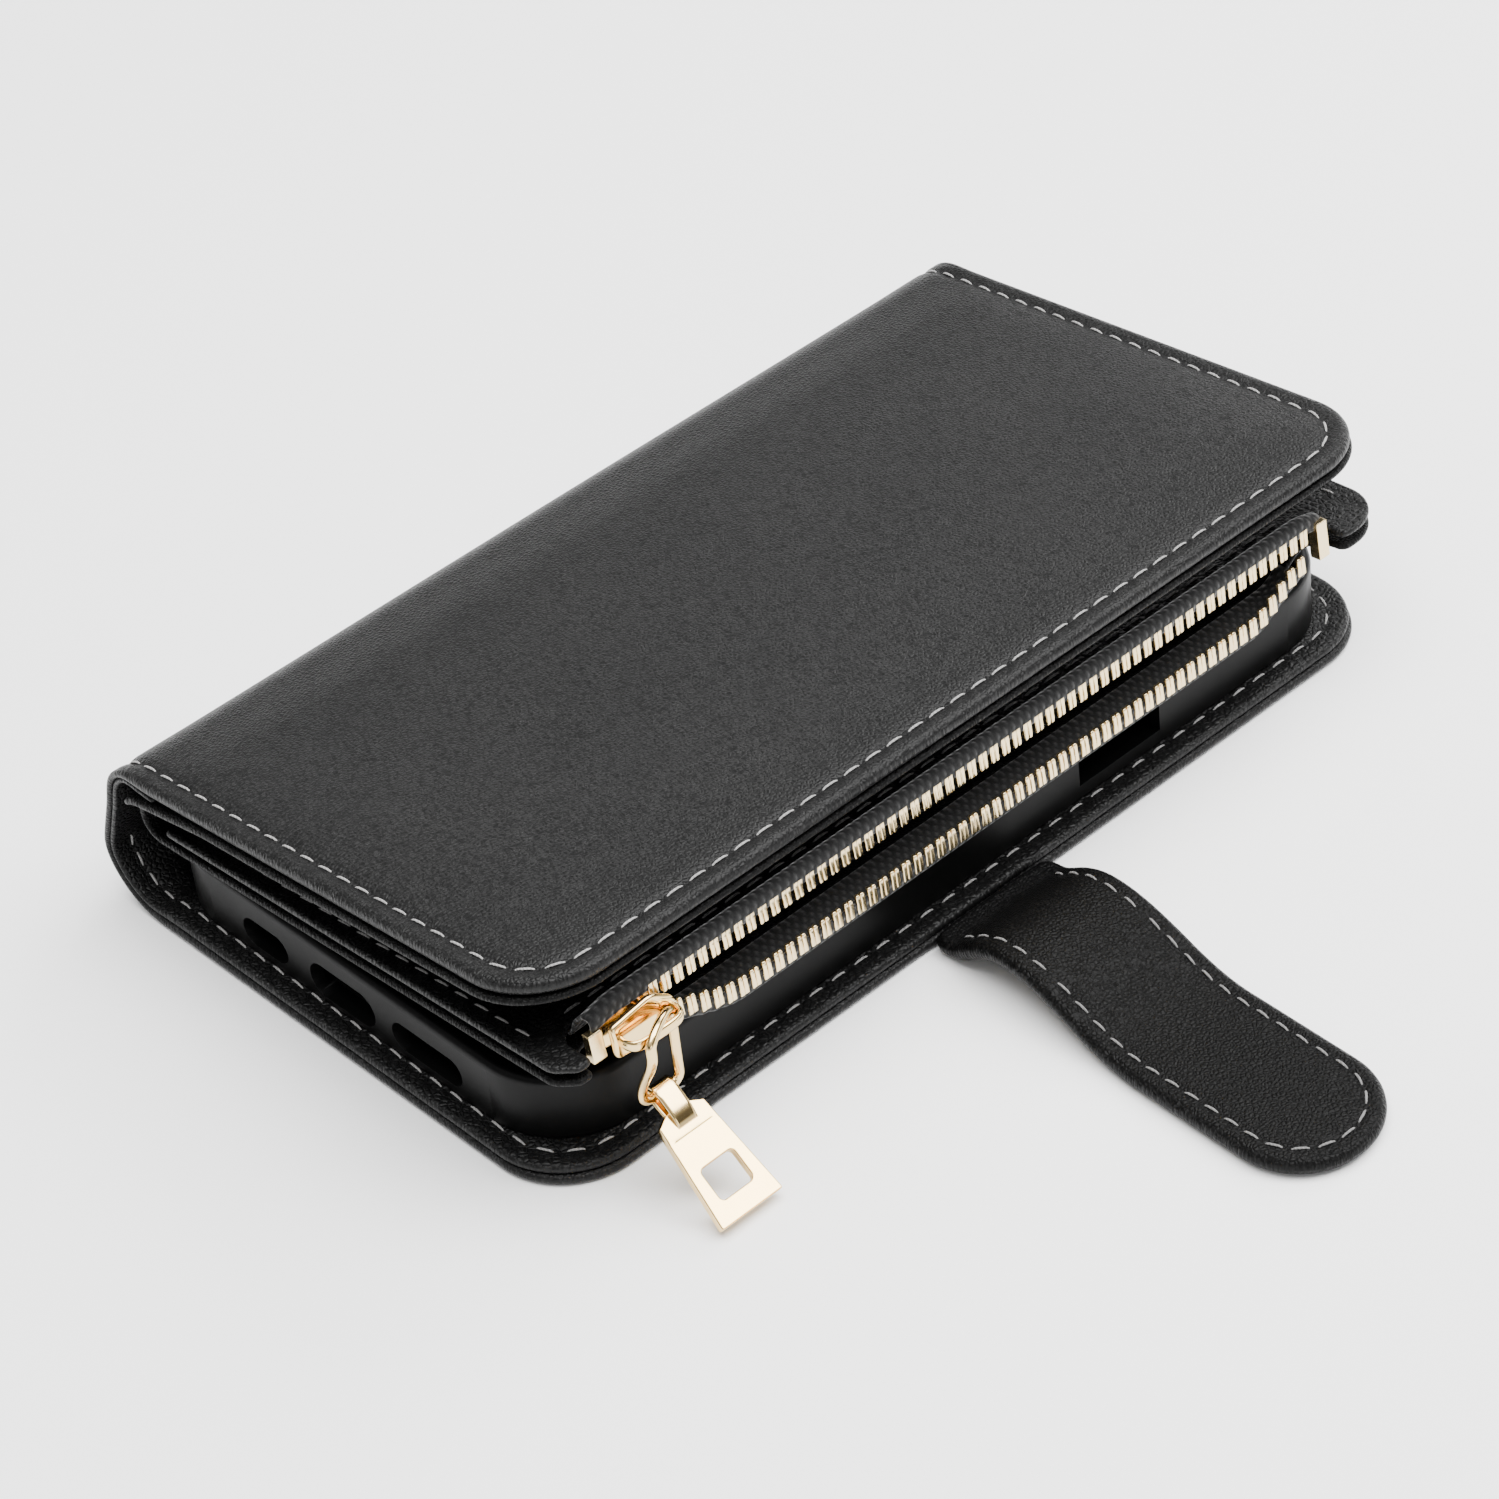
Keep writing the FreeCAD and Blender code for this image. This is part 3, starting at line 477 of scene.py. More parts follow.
# ---- materials
class Shader:
    """A small helper that wires a Principled material."""

    def __init__(self, name, **sockets):
        self.material = bpy.data.materials.new(name)
        self.material.use_nodes = True
        self.nodes = self.material.node_tree.nodes
        self.links = self.material.node_tree.links
        self.surface = self.nodes["Principled BSDF"]
        for key, value in sockets.items():
            self.surface.inputs[key.replace("_", " ")].default_value = value

    def node(self, kind, inputs=(), **settings):
        made = self.nodes.new(kind)
        for key, value in settings.items():
            setattr(made, key, value)
        for key, value in dict(inputs).items():
            if hasattr(value, "is_output"):
                self.links.new(value, made.inputs[key])
            else:
                made.inputs[key].default_value = value
        return made

    def to(self, socket, name):
        self.links.new(socket, self.surface.inputs[name])

    def where(self, flat):
        return self.node("ShaderNodeTexCoord").outputs["UV" if flat else "Object"]

    def noise(self, where, scale, detail):
        return self.node("ShaderNodeTexNoise", {"Vector": where, "Scale": scale, "Detail": detail})

    def wave(self, where, scale, distortion):
        inputs = {"Vector": where, "Scale": scale, "Distortion": distortion}
        return self.node("ShaderNodeTexWave", inputs, bands_direction="DIAGONAL")

    def ramp(self, value, low, high, out_low, out_high):
        inputs = {"Value": value, "From Min": low, "From Max": high,
                  "To Min": out_low, "To Max": out_high}
        return self.node("ShaderNodeMapRange", inputs).outputs["Result"]

    def bump(self, height, distance, strength=1.0, normal=None):
        inputs = {"Height": height, "Distance": distance, "Strength": strength}
        if normal is not None:
            inputs["Normal"] = normal
        return self.node("ShaderNodeBump", inputs).outputs["Normal"]

    def mix(self, factor, a, b):
        made = self.node("ShaderNodeMix", data_type="RGBA")
        for socket, value in ((made.inputs[0], factor), (made.inputs[6], a), (made.inputs[7], b)):
            if hasattr(value, "is_output"):
                self.links.new(value, socket)
            else:
                socket.default_value = value
        return made.outputs[2]


def unit_mm(flat):
    """Millimetres in one texture unit, on a sheet's flat layout or in the object's own space."""
    return 100.0 if flat else 1000.0


def grey(value, warm=0.0):
    return (value * (1 + warm), value, value * (1 - warm), 1.0)


def leather(name, tone, rough, grain, depth, shine=0.17, flat=True):
    """Black pebbled leather: grain is the pebbles' size in millimetres, depth scales its relief."""
    s = Shader(name, Specular_IOR_Level=shine)
    unit = unit_mm(flat)
    where = s.where(flat)
    warp = s.noise(where, unit / 3.0, 3.0)
    shifted = s.node("ShaderNodeVectorMath", {0: where}, operation="ADD")
    scaled = s.node("ShaderNodeVectorMath", {0: warp.outputs["Color"], "Scale": 0.4 / unit},
                    operation="SCALE")
    s.links.new(scaled.outputs[0], shifted.inputs[1])
    cells = s.node("ShaderNodeTexVoronoi", {"Vector": shifted.outputs[0], "Scale": unit / grain},
                   feature="DISTANCE_TO_EDGE")
    pebble = s.ramp(cells.outputs["Distance"], 0.0, 0.32, 0.0, 1.0)
    fine = s.noise(where, unit / (0.35 * grain), 4.0)
    broad = s.noise(where, unit / 22.0, 3.0)
    first = s.bump(fine.outputs["Fac"], 0.00005 * depth, 0.7)
    s.to(s.bump(pebble, 0.00006 * depth, 0.9, first), "Normal")
    patch = s.ramp(broad.outputs["Fac"], 0.3, 0.7, 0.0, 1.0)
    base = s.mix(patch, grey(tone), grey(tone * 1.5, 0.02))
    s.to(s.mix(pebble, grey(tone * 0.6), base), "Base Color")
    s.to(s.ramp(fine.outputs["Fac"], 0.3, 0.7, rough - 0.07, rough + 0.09), "Roughness")
    return s.material


def thread(name, tone):
    """Twisted polyester thread."""
    s = Shader(name, Specular_IOR_Level=0.3, Sheen_Weight=0.3)
    where = s.where(False)
    twist = s.wave(where, 900.0, 1.5)
    s.to(s.bump(twist.outputs["Fac"], 0.00005, 0.8), "Normal")
    s.to(s.mix(twist.outputs["Fac"], grey(tone * 0.7, 0.02), grey(tone, 0.02)), "Base Color")
    s.to(s.ramp(twist.outputs["Fac"], 0, 1, 0.55, 0.75), "Roughness")
    return s.material


def moulded(name, tone, rough):
    """Soft matt moulded plastic or rubber."""
    s = Shader(name, Specular_IOR_Level=0.1)
    where = s.where(False)
    fine = s.noise(where, 5200.0, 2.0)
    broad = s.noise(where, 60.0, 3.0)
    s.to(s.bump(fine.outputs["Fac"], 0.000012, 0.6), "Normal")
    s.to(s.mix(broad.outputs["Fac"], grey(tone * 0.85), grey(tone * 1.2)), "Base Color")
    s.to(s.ramp(broad.outputs["Fac"], 0.3, 0.7, rough - 0.05, rough + 0.05), "Roughness")
    return s.material


def woven(name, tone, rib, flat=True):
    """Woven cloth: two sets of yarn that cross, rib millimetres apart."""
    s = Shader(name, Specular_IOR_Level=0.25, Sheen_Weight=0.35, Sheen_Roughness=0.4)
    unit = unit_mm(flat)
    where = s.where(flat)
    a = s.wave(where, unit / rib / 6.28, 0.6)
    turned = s.node("ShaderNodeMapping", {"Vector": where, "Scale": (1.0, -1.0, 1.0)})
    b = s.wave(turned.outputs[0], unit / rib / 6.28, 0.6)
    yarn = s.node("ShaderNodeMath", {0: a.outputs["Fac"], 1: b.outputs["Fac"]},
                  operation="MULTIPLY")
    fuzz = s.noise(where, unit / 0.2, 3.0)
    first = s.bump(fuzz.outputs["Fac"], 0.00006, 0.6)
    s.to(s.bump(yarn.outputs[0], 0.00014, 1.0, first), "Normal")
    s.to(s.mix(yarn.outputs[0], grey(tone * 0.35), grey(tone * 1.9)), "Base Color")
    s.to(s.ramp(fuzz.outputs["Fac"], 0.3, 0.7, 0.7, 0.95), "Roughness")
    return s.material


def gold(name, colour, rough):
    """Polished plated metal with faint wear."""
    s = Shader(name, Metallic=1.0)
    where = s.where(False)
    wear = s.noise(where, 900.0, 5.0)
    cloud = s.noise(where, 160.0, 2.0)
    s.to(s.ramp(wear.outputs["Fac"], 0.35, 0.75, rough, rough + 0.08), "Roughness")
    s.to(s.mix(cloud.outputs["Fac"], tuple(c * 0.93 for c in colour) + (1,), colour + (1,)),
         "Base Color")
    s.to(s.bump(wear.outputs["Fac"], 0.000002, 0.3), "Normal")
    return s.material


def plain(name, colour, rough, metal=0.0):
    """Boards and magnets, with a fine fleck."""
    s = Shader(name, Metallic=metal)
    fleck = s.noise(s.where(False), 2500.0, 4.0)
    s.to(s.bump(fleck.outputs["Fac"], 0.00005, 0.5), "Normal")
    s.to(s.mix(fleck.outputs["Fac"], tuple(c * 0.75 for c in colour) + (1,), colour + (1,)),
         "Base Color")
    s.to(s.ramp(fleck.outputs["Fac"], 0.3, 0.7, rough - 0.08, rough + 0.08), "Roughness")
    return s.material


OUTER = leather("outer_leather", 0.006, 0.37, 0.62, 1.5)
INNER = leather("lining_leather", 0.006, 0.38, 0.85, 2.2)
SMOOTH = leather("smooth_leather", 0.0035, 0.36, 0.6, 2.0, shine=0.08)
CARDS = leather("card_leather", 0.015, 0.45, 0.7, 1.2, flat=False)
WHITE_THREAD = thread("pale_thread", 0.3)
GREY_THREAD = thread("grey_thread", 0.16)
SHELL = moulded("phone_shell_rubber", 0.0025, 0.38)
PAD = moulded("adhesive_pad", 0.5, 0.6)
TAPE = woven("zip_tape_twill", 0.009, 0.36)
CLOTH = woven("pocket_cloth", 0.03, 0.35, flat=False)
GOLD = gold("polished_gold", (0.92, 0.66, 0.3), 0.09)
TEETH = gold("zip_teeth_gold", (0.93, 0.74, 0.42), 0.2)
BOARD = plain("board", (0.42, 0.34, 0.24), 0.85)
STEEL = plain("magnet_steel", (0.62, 0.62, 0.64), 0.35, metal=1.0)

# ---- covers and spine
tilt = degrees(atan(FRONT_SLOPE))


def front_top(x):
    return FRONT_Z + FRONT_SLOPE * x


def page_low(x):
    return PAGE_Z + PAGE_SLOPE * x


front_centre = (FRONT_LEFT + FRONT_BEND_R * sin(radians(tilt)),
                front_top(FRONT_LEFT) - FRONT_BEND_R * cos(radians(tilt)))
spine_angle = atan2(HIGH_HINGE[1] - LOW_HINGE[1], HIGH_HINGE[0] - LOW_HINGE[0])
spine_out = (-sin(spine_angle) * SPINE_OUT, cos(spine_angle) * SPINE_OUT)
outside = [(COVER_RIGHT, 0.0)] + arc((BACK_LEFT, BACK_BEND_R), BACK_BEND_R, 270, 200)
outside += [(LOW_HINGE[0] + spine_out[0], LOW_HINGE[1] + spine_out[1] + 1.2),
            (HIGH_HINGE[0] + spine_out[0], HIGH_HINGE[1] + spine_out[1] - 1.0)]
outside += arc(front_centre, FRONT_BEND_R, 166, 90 + tilt)
outside += [(COVER_RIGHT, front_top(COVER_RIGHT))]
WRAP = Path(outside, soften=14)
u_mid = WRAP.nearest((LOW_HINGE[0] + HIGH_HINGE[0]) / 2 + spine_out[0],
                     (LOW_HINGE[1] + HIGH_HINGE[1]) / 2)
u_back = WRAP.nearest(BACK_LEFT, 0)
u_front = WRAP.nearest(FRONT_LEFT, front_top(FRONT_LEFT))


def wrap_lift(u, v, h):
    """u runs round the wrap's outside from the back's free edge, v along it, h out of it."""
    x, z = WRAP.place(u, h)
    return x, v, z


def skin(u):
    """Thickness of the outer leather on the back and the spine."""
    return SPINE_LEATHER + (BACK_LEATHER - SPINE_LEATHER) * ease((u_back + 4 - u) / 8)


def total(u):
    """Thickness of the outer leather and the lining there."""
    return SPINE_TOTAL + (BACK_TOTAL - SPINE_TOTAL) * ease((u_back + 4 - u) / 8)


def cover_inset(free, u, v, half=HALF, radius=CORNER_R):
    """Distance from a cover's free edges; free is the u of the edge away from the spine."""
    a, b = abs(free - u), half - abs(v)
    if a < radius and b < radius:
        return radius - hypot(radius - a, radius - b)
    return min(a, b)


def seam_dip(inset, depth):
    """Height of the groove that the stitches pull into the leather."""
    return -depth * exp(-((inset - STITCH_IN) / 0.8) ** 2)


def bend_steps(u):
    """Spacing of a cover's points, closer over the spine and its bends."""
    return 1.0 if u_back - 4 < u < u_front + 4 else 2.6


COVER_RINGS = (1.7, 2.2, 2.65, 3.1, 3.55, 4.0, 4.6, 5.6, 7.2)
hole_low, hole_high, hole_r = CAMERA_HOLE
hole = fillet([(COVER_RIGHT - x, y, hole_r)
               for x, y in ((hole_low[0], hole_low[1]), (hole_high[0], hole_low[1]),
                            (hole_high[0], hole_high[1]), (hole_low[0], hole_high[1]))])
lower_outline = strip(0, CORNER_R, u_mid, 0, HALF)


def back_face(u, v):
    """Outside of the back, with its stitches sunk so that the wallet lies flat."""
    return seam_dip(cover_inset(0, u, v), 0.42) * ease((u_mid - 1 - u) / 3)


lower_wrap = slab("wrap_lower", OUTER, lower_outline, wrap_lift, lambda u, v: -skin(u), back_face,
                  lambda u, v: skin(u) / 2, holes=[hole], rings=COVER_RINGS, fine=bend_steps,
                  cut=u_mid)
lining_half = HALF - LINING_INSET
lining_outline = strip(BACK_INSET, CORNER_R, u_mid, 0, lining_half)


def lining_top(u, v):
    """Inner face of the back's lining."""
    return -total(u) - seam_dip(cover_inset(BACK_INSET, u, v), 0.22) * ease((u_mid - 1 - u) / 3)


lower_lining = slab("lining_lower", INNER, lining_outline, wrap_lift, lining_top,
                    lambda u, v: -skin(u), lambda u, v: (total(u) - skin(u)) / 2, holes=[hole],
                    rings=COVER_RINGS, fine=bend_steps, cut=u_mid)

u_end = WRAP.length
upper_outline = strip(u_mid, 0, u_end, CORNER_R, HALF)


def cover_thick(u):
    """Thickness of the front cover and its padding, down to the leather's on the spine."""
    return SPINE_LEATHER + (FRONT_SLAB - SPINE_LEATHER) * ease((u - u_front + 3) / 8)


def cover_face(u, v):
    """Outside of the front cover: a padded crown, a slight sway and the seam's groove."""
    inset = cover_inset(u_end, u, v)
    padding = 0.55 * (1 - exp(-max(inset - STITCH_IN, 0) / 4.5)) * ease((u - u_front) / 10)
    sway = 0.12 * sin(u / 17.0) * cos(v / 23.0) * ease((inset - 5) / 10)
    return padding + sway + seam_dip(inset, 0.32) * ease((u - u_mid - 1) / 3)


upper_wrap = slab("wrap_upper", OUTER, upper_outline, wrap_lift, lambda u, v: -cover_thick(u),
                  cover_face, lambda u, v: cover_thick(u) / 2, rings=COVER_RINGS, fine=bend_steps,
                  cut=u_mid)
u_lining = WRAP.nearest(-39.0, front_top(-39.0))
upper_lining = slab("lining_upper", INNER, strip(u_mid, 0, u_lining, 0.6, lining_half), wrap_lift,
                    lambda u, v: -cover_thick(u) - 0.88, lambda u, v: -cover_thick(u) - 0.02,
                    lambda u, v: 0.42, fine=bend_steps, cut=u_mid)

# ---- inner panel with the flap that wraps the page's fold
panel_points = arc(FOLD_AXIS, FOLD_R + 0.4, 146, 92, 9)
panel_points += [(-27.0, front_top(-27.0) - COVER_STACK),
                 (COVER_RIGHT + 0.2, front_top(COVER_RIGHT) - COVER_STACK)]
PANEL_PATH = Path(panel_points, soften=12)


def panel_lift(u, v, h):
    x, z = PANEL_PATH.place(u, h)
    return x, v, z


panel_end = PANEL_PATH.length
panel_half = box_mm("inner_panel")[1].y
inner_panel = slab("inner_panel_leather", SMOOTH, strip(0, 1.5, panel_end, CORNER_R, panel_half),
                   panel_lift, lambda u, v: 0.0, lambda u, v: PANEL, lambda u, v: PANEL / 2,
                   rings=(1.2, 2.4), fine=lambda u: 1.0 if u < 14 else 3.0)

# ---- page
page_points = arc(FOLD_AXIS, FOLD_R, 128, 264, 19)
page_points += [(-36.0, page_low(-36.0)), (PAGE_RIGHT, page_low(PAGE_RIGHT))]
PAGE_PATH = Path(page_points, soften=4)


def sink(x, y):
    """How far the lower panel hangs below its straight line, for the pocket."""
    from_end = min(y + PAGE_HALF - 11.0, PAGE_HALF - 11.0 - y)
    return POUCH_DEPTH * ease(from_end / POUCH_END) * max(x + 37.0, 0) / (PAGE_RIGHT + 37.0)


def page_lift(u, v, h):
    x, z = PAGE_PATH.place(u, h)
    return x, v, z - sink(x, v) * (u > 12)


def page_outline(u_left, u_of, recess):
    """Outline of one panel: ears at both ends and the recess for the zip between them."""
    right = u_of(PAGE_RIGHT)
    inner = u_of(recess)
    near, far = RECESS_Y
    return fillet([(u_left, -PAGE_HALF, 0.9), (right - 2.8, -PAGE_HALF, 3.2),
                   (right, -PAGE_HALF + 2.5, 1.4), (right, near, 0.9), (inner, near, 3.4),
                   (inner, far, 3.6), (right, far, 1.6), (right, PAGE_HALF, 7.0),
                   (u_left, PAGE_HALF, 0.9)])


def page_u(x):
    return PAGE_PATH.nearest(x, page_low(x)) if x < PAGE_RIGHT else PAGE_PATH.length


def page_rim(u, v):
    return PANEL / 2 - 0.02


lower_page = slab("page_lower_leather", SMOOTH, page_outline(0, page_u, LOWER_RECESS_X), page_lift,
                  lambda u, v: 0.0, lambda u, v: PANEL, page_rim,
                  fine=lambda u: 1.0 if u < 14 else 2.6, step=(2.6, 3.0))


def upper_lift(u, v, h):
    return u, v, page_low(u) + h


def upper_top(u, v):
    """Top face of the upper panel, drawn down along the stitches at its ends."""
    ends = PAGE_HALF - abs(v)
    return PAGE_UPPER + PANEL - 0.16 * exp(-((ends - PAGE_SEAM) / 0.7) ** 2)


upper_page = slab("page_upper_leather", INNER, page_outline(PAGE_LEFT, lambda x: x, RECESS_X),
                  upper_lift, lambda u, v: PAGE_UPPER, upper_top, page_rim,
                  rings=(0.9, 1.4, 1.9), step=(2.6, 2.2))

# ---- zip
lean_turn = radians(ZIP_TILT)


def lean(out_by, y, up):
    """A point of the zip's own upright frame, carried to the page."""
    return (ZIP_X + out_by * cos(lean_turn) - up * sin(lean_turn), y,
            ZIP_Z + out_by * sin(lean_turn) + up * cos(lean_turn))


def tooth_places(node):
    """Centres of the separate teeth in a CAD node, from the frame, in millimetres."""
    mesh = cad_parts[node].data
    corners = sorted((v.co.y / MM, v.co.z / MM, v.co.x / MM) for v in mesh.vertices)
    groups = [[corners[0]]]
    for corner in corners[1:]:
        if corner[0] - groups[-1][-1][0] > 0.3:
            groups.append([])
        groups[-1].append(corner)
    found = []
    for group in groups:
        ys, zs, xs = zip(*group)
        found.append(Vector([(min(c) + max(c)) / 2 for c in (xs, ys, zs)]))
    return found


def teeth(name, places, up):
    """Stamped teeth: a clamped root, a waist and a rounded head."""
    sx, sy, sz = (d * share for d, share in zip(TOOTH, TOOTH_SHARES))
    profile = ((1.0, 0.98, 0.72), (0.92, 1.0, 0.95), (0.3, 1.0, 1.0), (-0.1, 0.86, 1.0),
               (-0.5, 0.9, 1.0), (-0.85, 0.86, 0.9), (-1.0, 0.6, 0.62))
    section = ((1, 0.72), (0.72, 1), (-0.72, 1), (-1, 0.72),
               (-1, -0.72), (-0.72, -1), (0.72, -1), (1, -0.72))
    bm = bmesh.new()
    for place in places:
        rows = []
        for along, thick, deep in profile:
            z = along * sz * (1 if up else -1)
            rows.append([bm.verts.new((place.x + a * sx * deep - z * sin(lean_turn),
                                       place.y + b * sy * thick, place.z + z))
                         for a, b in section])
        wall(bm, rows)
        bm.faces.new(rows[0])
        bm.faces.new(rows[-1])
    piece = to_object(name, bm, TEETH)
    bevel = piece.modifiers.new("edges", "BEVEL")
    bevel.width = 0.12 * MM
    bevel.segments = 2
    bevel.angle_limit = radians(35)
    return bake(piece)


upper_places = tooth_places("zip_teeth_upper")
lower_places = tooth_places("zip_teeth_lower")
upper_teeth = teeth("zip_teeth_upper_row", upper_places, True)
lower_teeth = teeth("zip_teeth_lower_row", lower_places, False)
root = TOOTH[2] / 2

tape_low, tape_high = box_mm("zip_tape_upper")
hem_x = RECESS_X - TUCK
upper_section = smooth_through([(hem_x, page_low(hem_x) + PAGE_UPPER - 0.3),
                                (35.9, page_low(35.9) + PAGE_UPPER), (37.0, 25.2), (38.4, 27.2),
                                (39.6, 27.6), (40.25, 27.0), (40.35, 25.6)], 5)
upper_rows = []
for y in np.arange(tape_low.y + 0.3, tape_high.y - 0.2, TAPE_STEP):
    near_end = min(y - tape_low.y, tape_high.y - y)
    sag = 1.0 * (1 - ease(near_end / 5))
    upper_rows.append([(x, y, z - sag * (z - 22) / 5) for x, z in upper_section])
upper_tape = ribbon("zip_tape_upper_cloth", TAPE, upper_rows, TAPE_THICK)
edge_x = LOWER_RECESS_X - TUCK
lower_rows = []
line_y = [p.y for p in lower_places]
for y in np.arange(line_y[0] - 0.8, line_y[-1] + 0.8, TAPE_STEP):
    z = float(np.interp(y, line_y, [p.z for p in lower_places])) - root
    x = float(np.interp(y, line_y, [p.x for p in lower_places]))
    hem = page_low(edge_x) + PANEL + 0.3 - sink(edge_x, y)
    drop = min(1.1, max(z - hem + 1.0, 0.3))
    section = smooth_through([(x - 0.05, z + 1.6), (x, z), (x - 0.15, z - 0.6), (x - 0.9, z - drop),
                              (x - 2.4, (z - drop + hem) / 2), (edge_x, hem)], 4)
    lower_rows.append([(p[0], y, p[1]) for p in section])
lower_tape = ribbon("zip_tape_lower_cloth", TAPE, lower_rows, TAPE_THICK)

# ---- slider, ring and tab
blade_outline = fillet([(SLIDER_TAIL, -2.5, 0.9), (SLIDER_NOSE - 3.4, -3.4, 2.4),
                        (SLIDER_NOSE, -1.0, 1.5), (SLIDER_NOSE, 1.0, 1.5),
                        (SLIDER_NOSE - 3.4, 3.4, 2.4), (SLIDER_TAIL, 2.5, 0.9)], 0.4)


def blade_face(u, v):
    """Outside of a blade: crowned, with a raised middle where the bail stands."""
    return 0.8 + 0.5 * exp(-(v / 2.3) ** 2) * ease((SLIDER_NOSE + 0.6 - u) / 4)


def blade(name, way):
    return slab(name, GOLD, blade_outline, lambda u, v, h: lean(way * (BLADE_OUT + h), u, v),
                lambda u, v: 0.0, blade_face, lambda u, v: 0.38, step=(0.6, 0.6), rings=(0.7,))


outer_blade = blade("outer_blade", 1)
inner_blade = blade("inner_blade", -1)
post = tube("slider_post", GOLD, [lean(out_by, SLIDER_NOSE - 2.6, 0) for out_by in (-1.3, 1.3)],
            0.9, 0.55, (0, 1, 0), closed=False, sides=20)
bail_line = [(1.9, -67.5), (3.2, -67.65), (4.35, -67.2), (4.9, -66.0), (5.0, -63.3), (4.9, -60.6),
             (4.35, -59.4), (3.2, -58.95), (1.9, -59.1)]
bail = tube("slider_bail", GOLD, [lean(p[0], p[1], 0) for p in smooth_through(bail_line, 7)],
            0.86, 0.44, (0, 0, 1), closed=False, sides=20)
slider = join("zip_slider_gold", [outer_blade, inner_blade, post, bail])

axis_x, _, axis_z = lean(BAIL_AXIS, 0, 0)
inside_x = axis_x - RING_SWING
far_y, near_y = TAB_Y + RING_HALF, TAB_Y - RING_HALF
corner_z = RING_BAR_Z + RING_CORNER
ring_line = [(inside_x, TAB_Y, RING_BAR_Z)]
for angle in range(0, 91, 15):
    t = radians(angle)
    ring_line.append((inside_x, near_y + RING_CORNER * (1 - sin(t)),
                      corner_z - RING_CORNER * cos(t)))
for i in range(1, 15):
    share = i / 14
    ring_line.append((inside_x + 2 * RING_SWING * ease(share), near_y,
                      corner_z + (axis_z - 1.0 - corner_z) * share))
for i in range(17):
    t = pi * i / 16
    ring_line.append((axis_x + RING_SWING * cos(t),
                      near_y + (far_y - near_y) * ease(i / 16), axis_z + RING_SWING * sin(t)))
for i in range(1, 12):
    ring_line.append((inside_x, far_y, axis_z + (corner_z - axis_z) * i / 12))
for angle in range(0, 91, 15):
    t = radians(angle)
    ring_line.append((inside_x, far_y - RING_CORNER * (1 - cos(t)),
                      corner_z - RING_CORNER * sin(t)))
ring_centre = Vector((axis_x, TAB_Y, RING_MIDDLE_Z))


def ring_side(p):
    """The wire is a little wider than it is thick: wide in the ring's own face."""
    across = Vector((0, p.y - ring_centre.y, (p.z - ring_centre.z) * 0.7))
    return across if across.length > 0.1 else Vector((0, 1, 0))


ring = tube("pull_ring_gold", GOLD, ring_line, 0.76, 0.62, ring_side, sides=18)

tab_turn = radians(TAB_TILT)


def tab_lift(u, v, h):
    """u runs down the tab from the ring's bar, v across it and h out of its face."""
    return (inside_x + u * cos(tab_turn) + h * sin(tab_turn), TAB_Y + v,
            RING_BAR_Z - u * sin(tab_turn) + h * cos(tab_turn))


tab_outline = fillet([(SHOULDER - 0.6, -NECK_HALF, 0.0), (SHOULDER + 0.5, -SHOULDER_HALF, 0.35),
                      (TAB_LENGTH, -END_HALF, 0.3), (TAB_LENGTH, END_HALF, 0.3),
                      (SHOULDER + 0.5, SHOULDER_HALF, 0.35), (SHOULDER - 0.6, NECK_HALF, 0.0)], 0.8)
w_long, w_wide, w_end = WINDOW
w_far = TAB_LENGTH - w_end
window = fillet([(w_far - w_long, -w_wide / 2, 0.7), (w_far, -w_wide / 2, 0.7),
                 (w_far, w_wide / 2, 0.7), (w_far - w_long, w_wide / 2, 0.7)], 0.6)


def plate_face(u, v):
    """Face of the tab, with the crease where its neck was folded."""
    return PLATE_HALF - 0.06 * exp(-((u - TAB_CREASE) / 0.16) ** 2)


plate = slab("tab_plate", GOLD, tab_outline, tab_lift, lambda u, v: -PLATE_HALF, plate_face,
             lambda u, v: 0.18, holes=[window], step=(1.0, 1.0),
             fine=lambda u: 0.15 if 5.8 < u < 7.1 else 0.8)
neck_line = [(5.2, 0.4), (4.4, 0.75), (3.2, 1.05), (1.4, 1.18), (0.3, 1.15), (-0.7, 0.85),
             (-1.12, 0.0), (-0.7, -0.85), (0.3, -1.15), (1.6, -1.1), (3.4, -0.75), (4.8, -0.35)]
neck_rows = []
for v in np.linspace(-NECK_HALF + 0.1, NECK_HALF - 0.1, 9):
    neck_rows.append([tab_lift(p[0], v, p[1]) for p in smooth_through(neck_line, 6)])
neck = ribbon("tab_neck", GOLD, neck_rows, NECK_THICK)
tab = join("pull_tab_gold", [plate, neck])

# ---- strap
STRAP = Path([tuple(p) for p in smooth_through(STRAP_LINE, 6)])
strap_split = STRAP.nearest(STRAP_SPLIT, 5.7)
strap_end = STRAP.nearest(STRAP_TIP, 1.5)


def drift(x):
    return float(np.interp(x, [p[0] for p in STRAP_DRIFT], [p[1] for p in STRAP_DRIFT]))


def strap_lift(u, v, h):
    """v is measured from the strap's middle line; the strap is a little twisted on its hump."""
    x, z = STRAP.place(u, h)
    hump = exp(-((x - 57) / 12) ** 2)
    return x, drift(x) + v, z + 0.035 * -v * hump


def strap_half(u):
    """Half the strap's thickness: thinner where it joins the back."""
    return STRAP_THICK / 2 - 0.2 * (1 - ease(u / 6))


def strap_top(u, v):
    """Top of the strap: a soft crown inside the seam, and the seam's groove."""
    past = cover_inset(strap_end, u, v, STRAP_HALF, STRAP_HALF - 0.1) - STRAP_SEAM
    crown = 0.16 * (1 - exp(-max(past, 0) / 3))
    return strap_half(u) + crown - 0.14 * exp(-(past / 0.6) ** 2)


def strap_bottom(u, v):
    return -strap_half(u) + 0.05


STRAP_RINGS = (1.95, 2.25, 2.6, 2.95, 3.3, 3.9)


def strap_rim(u, v):
    return strap_half(u) - 0.03


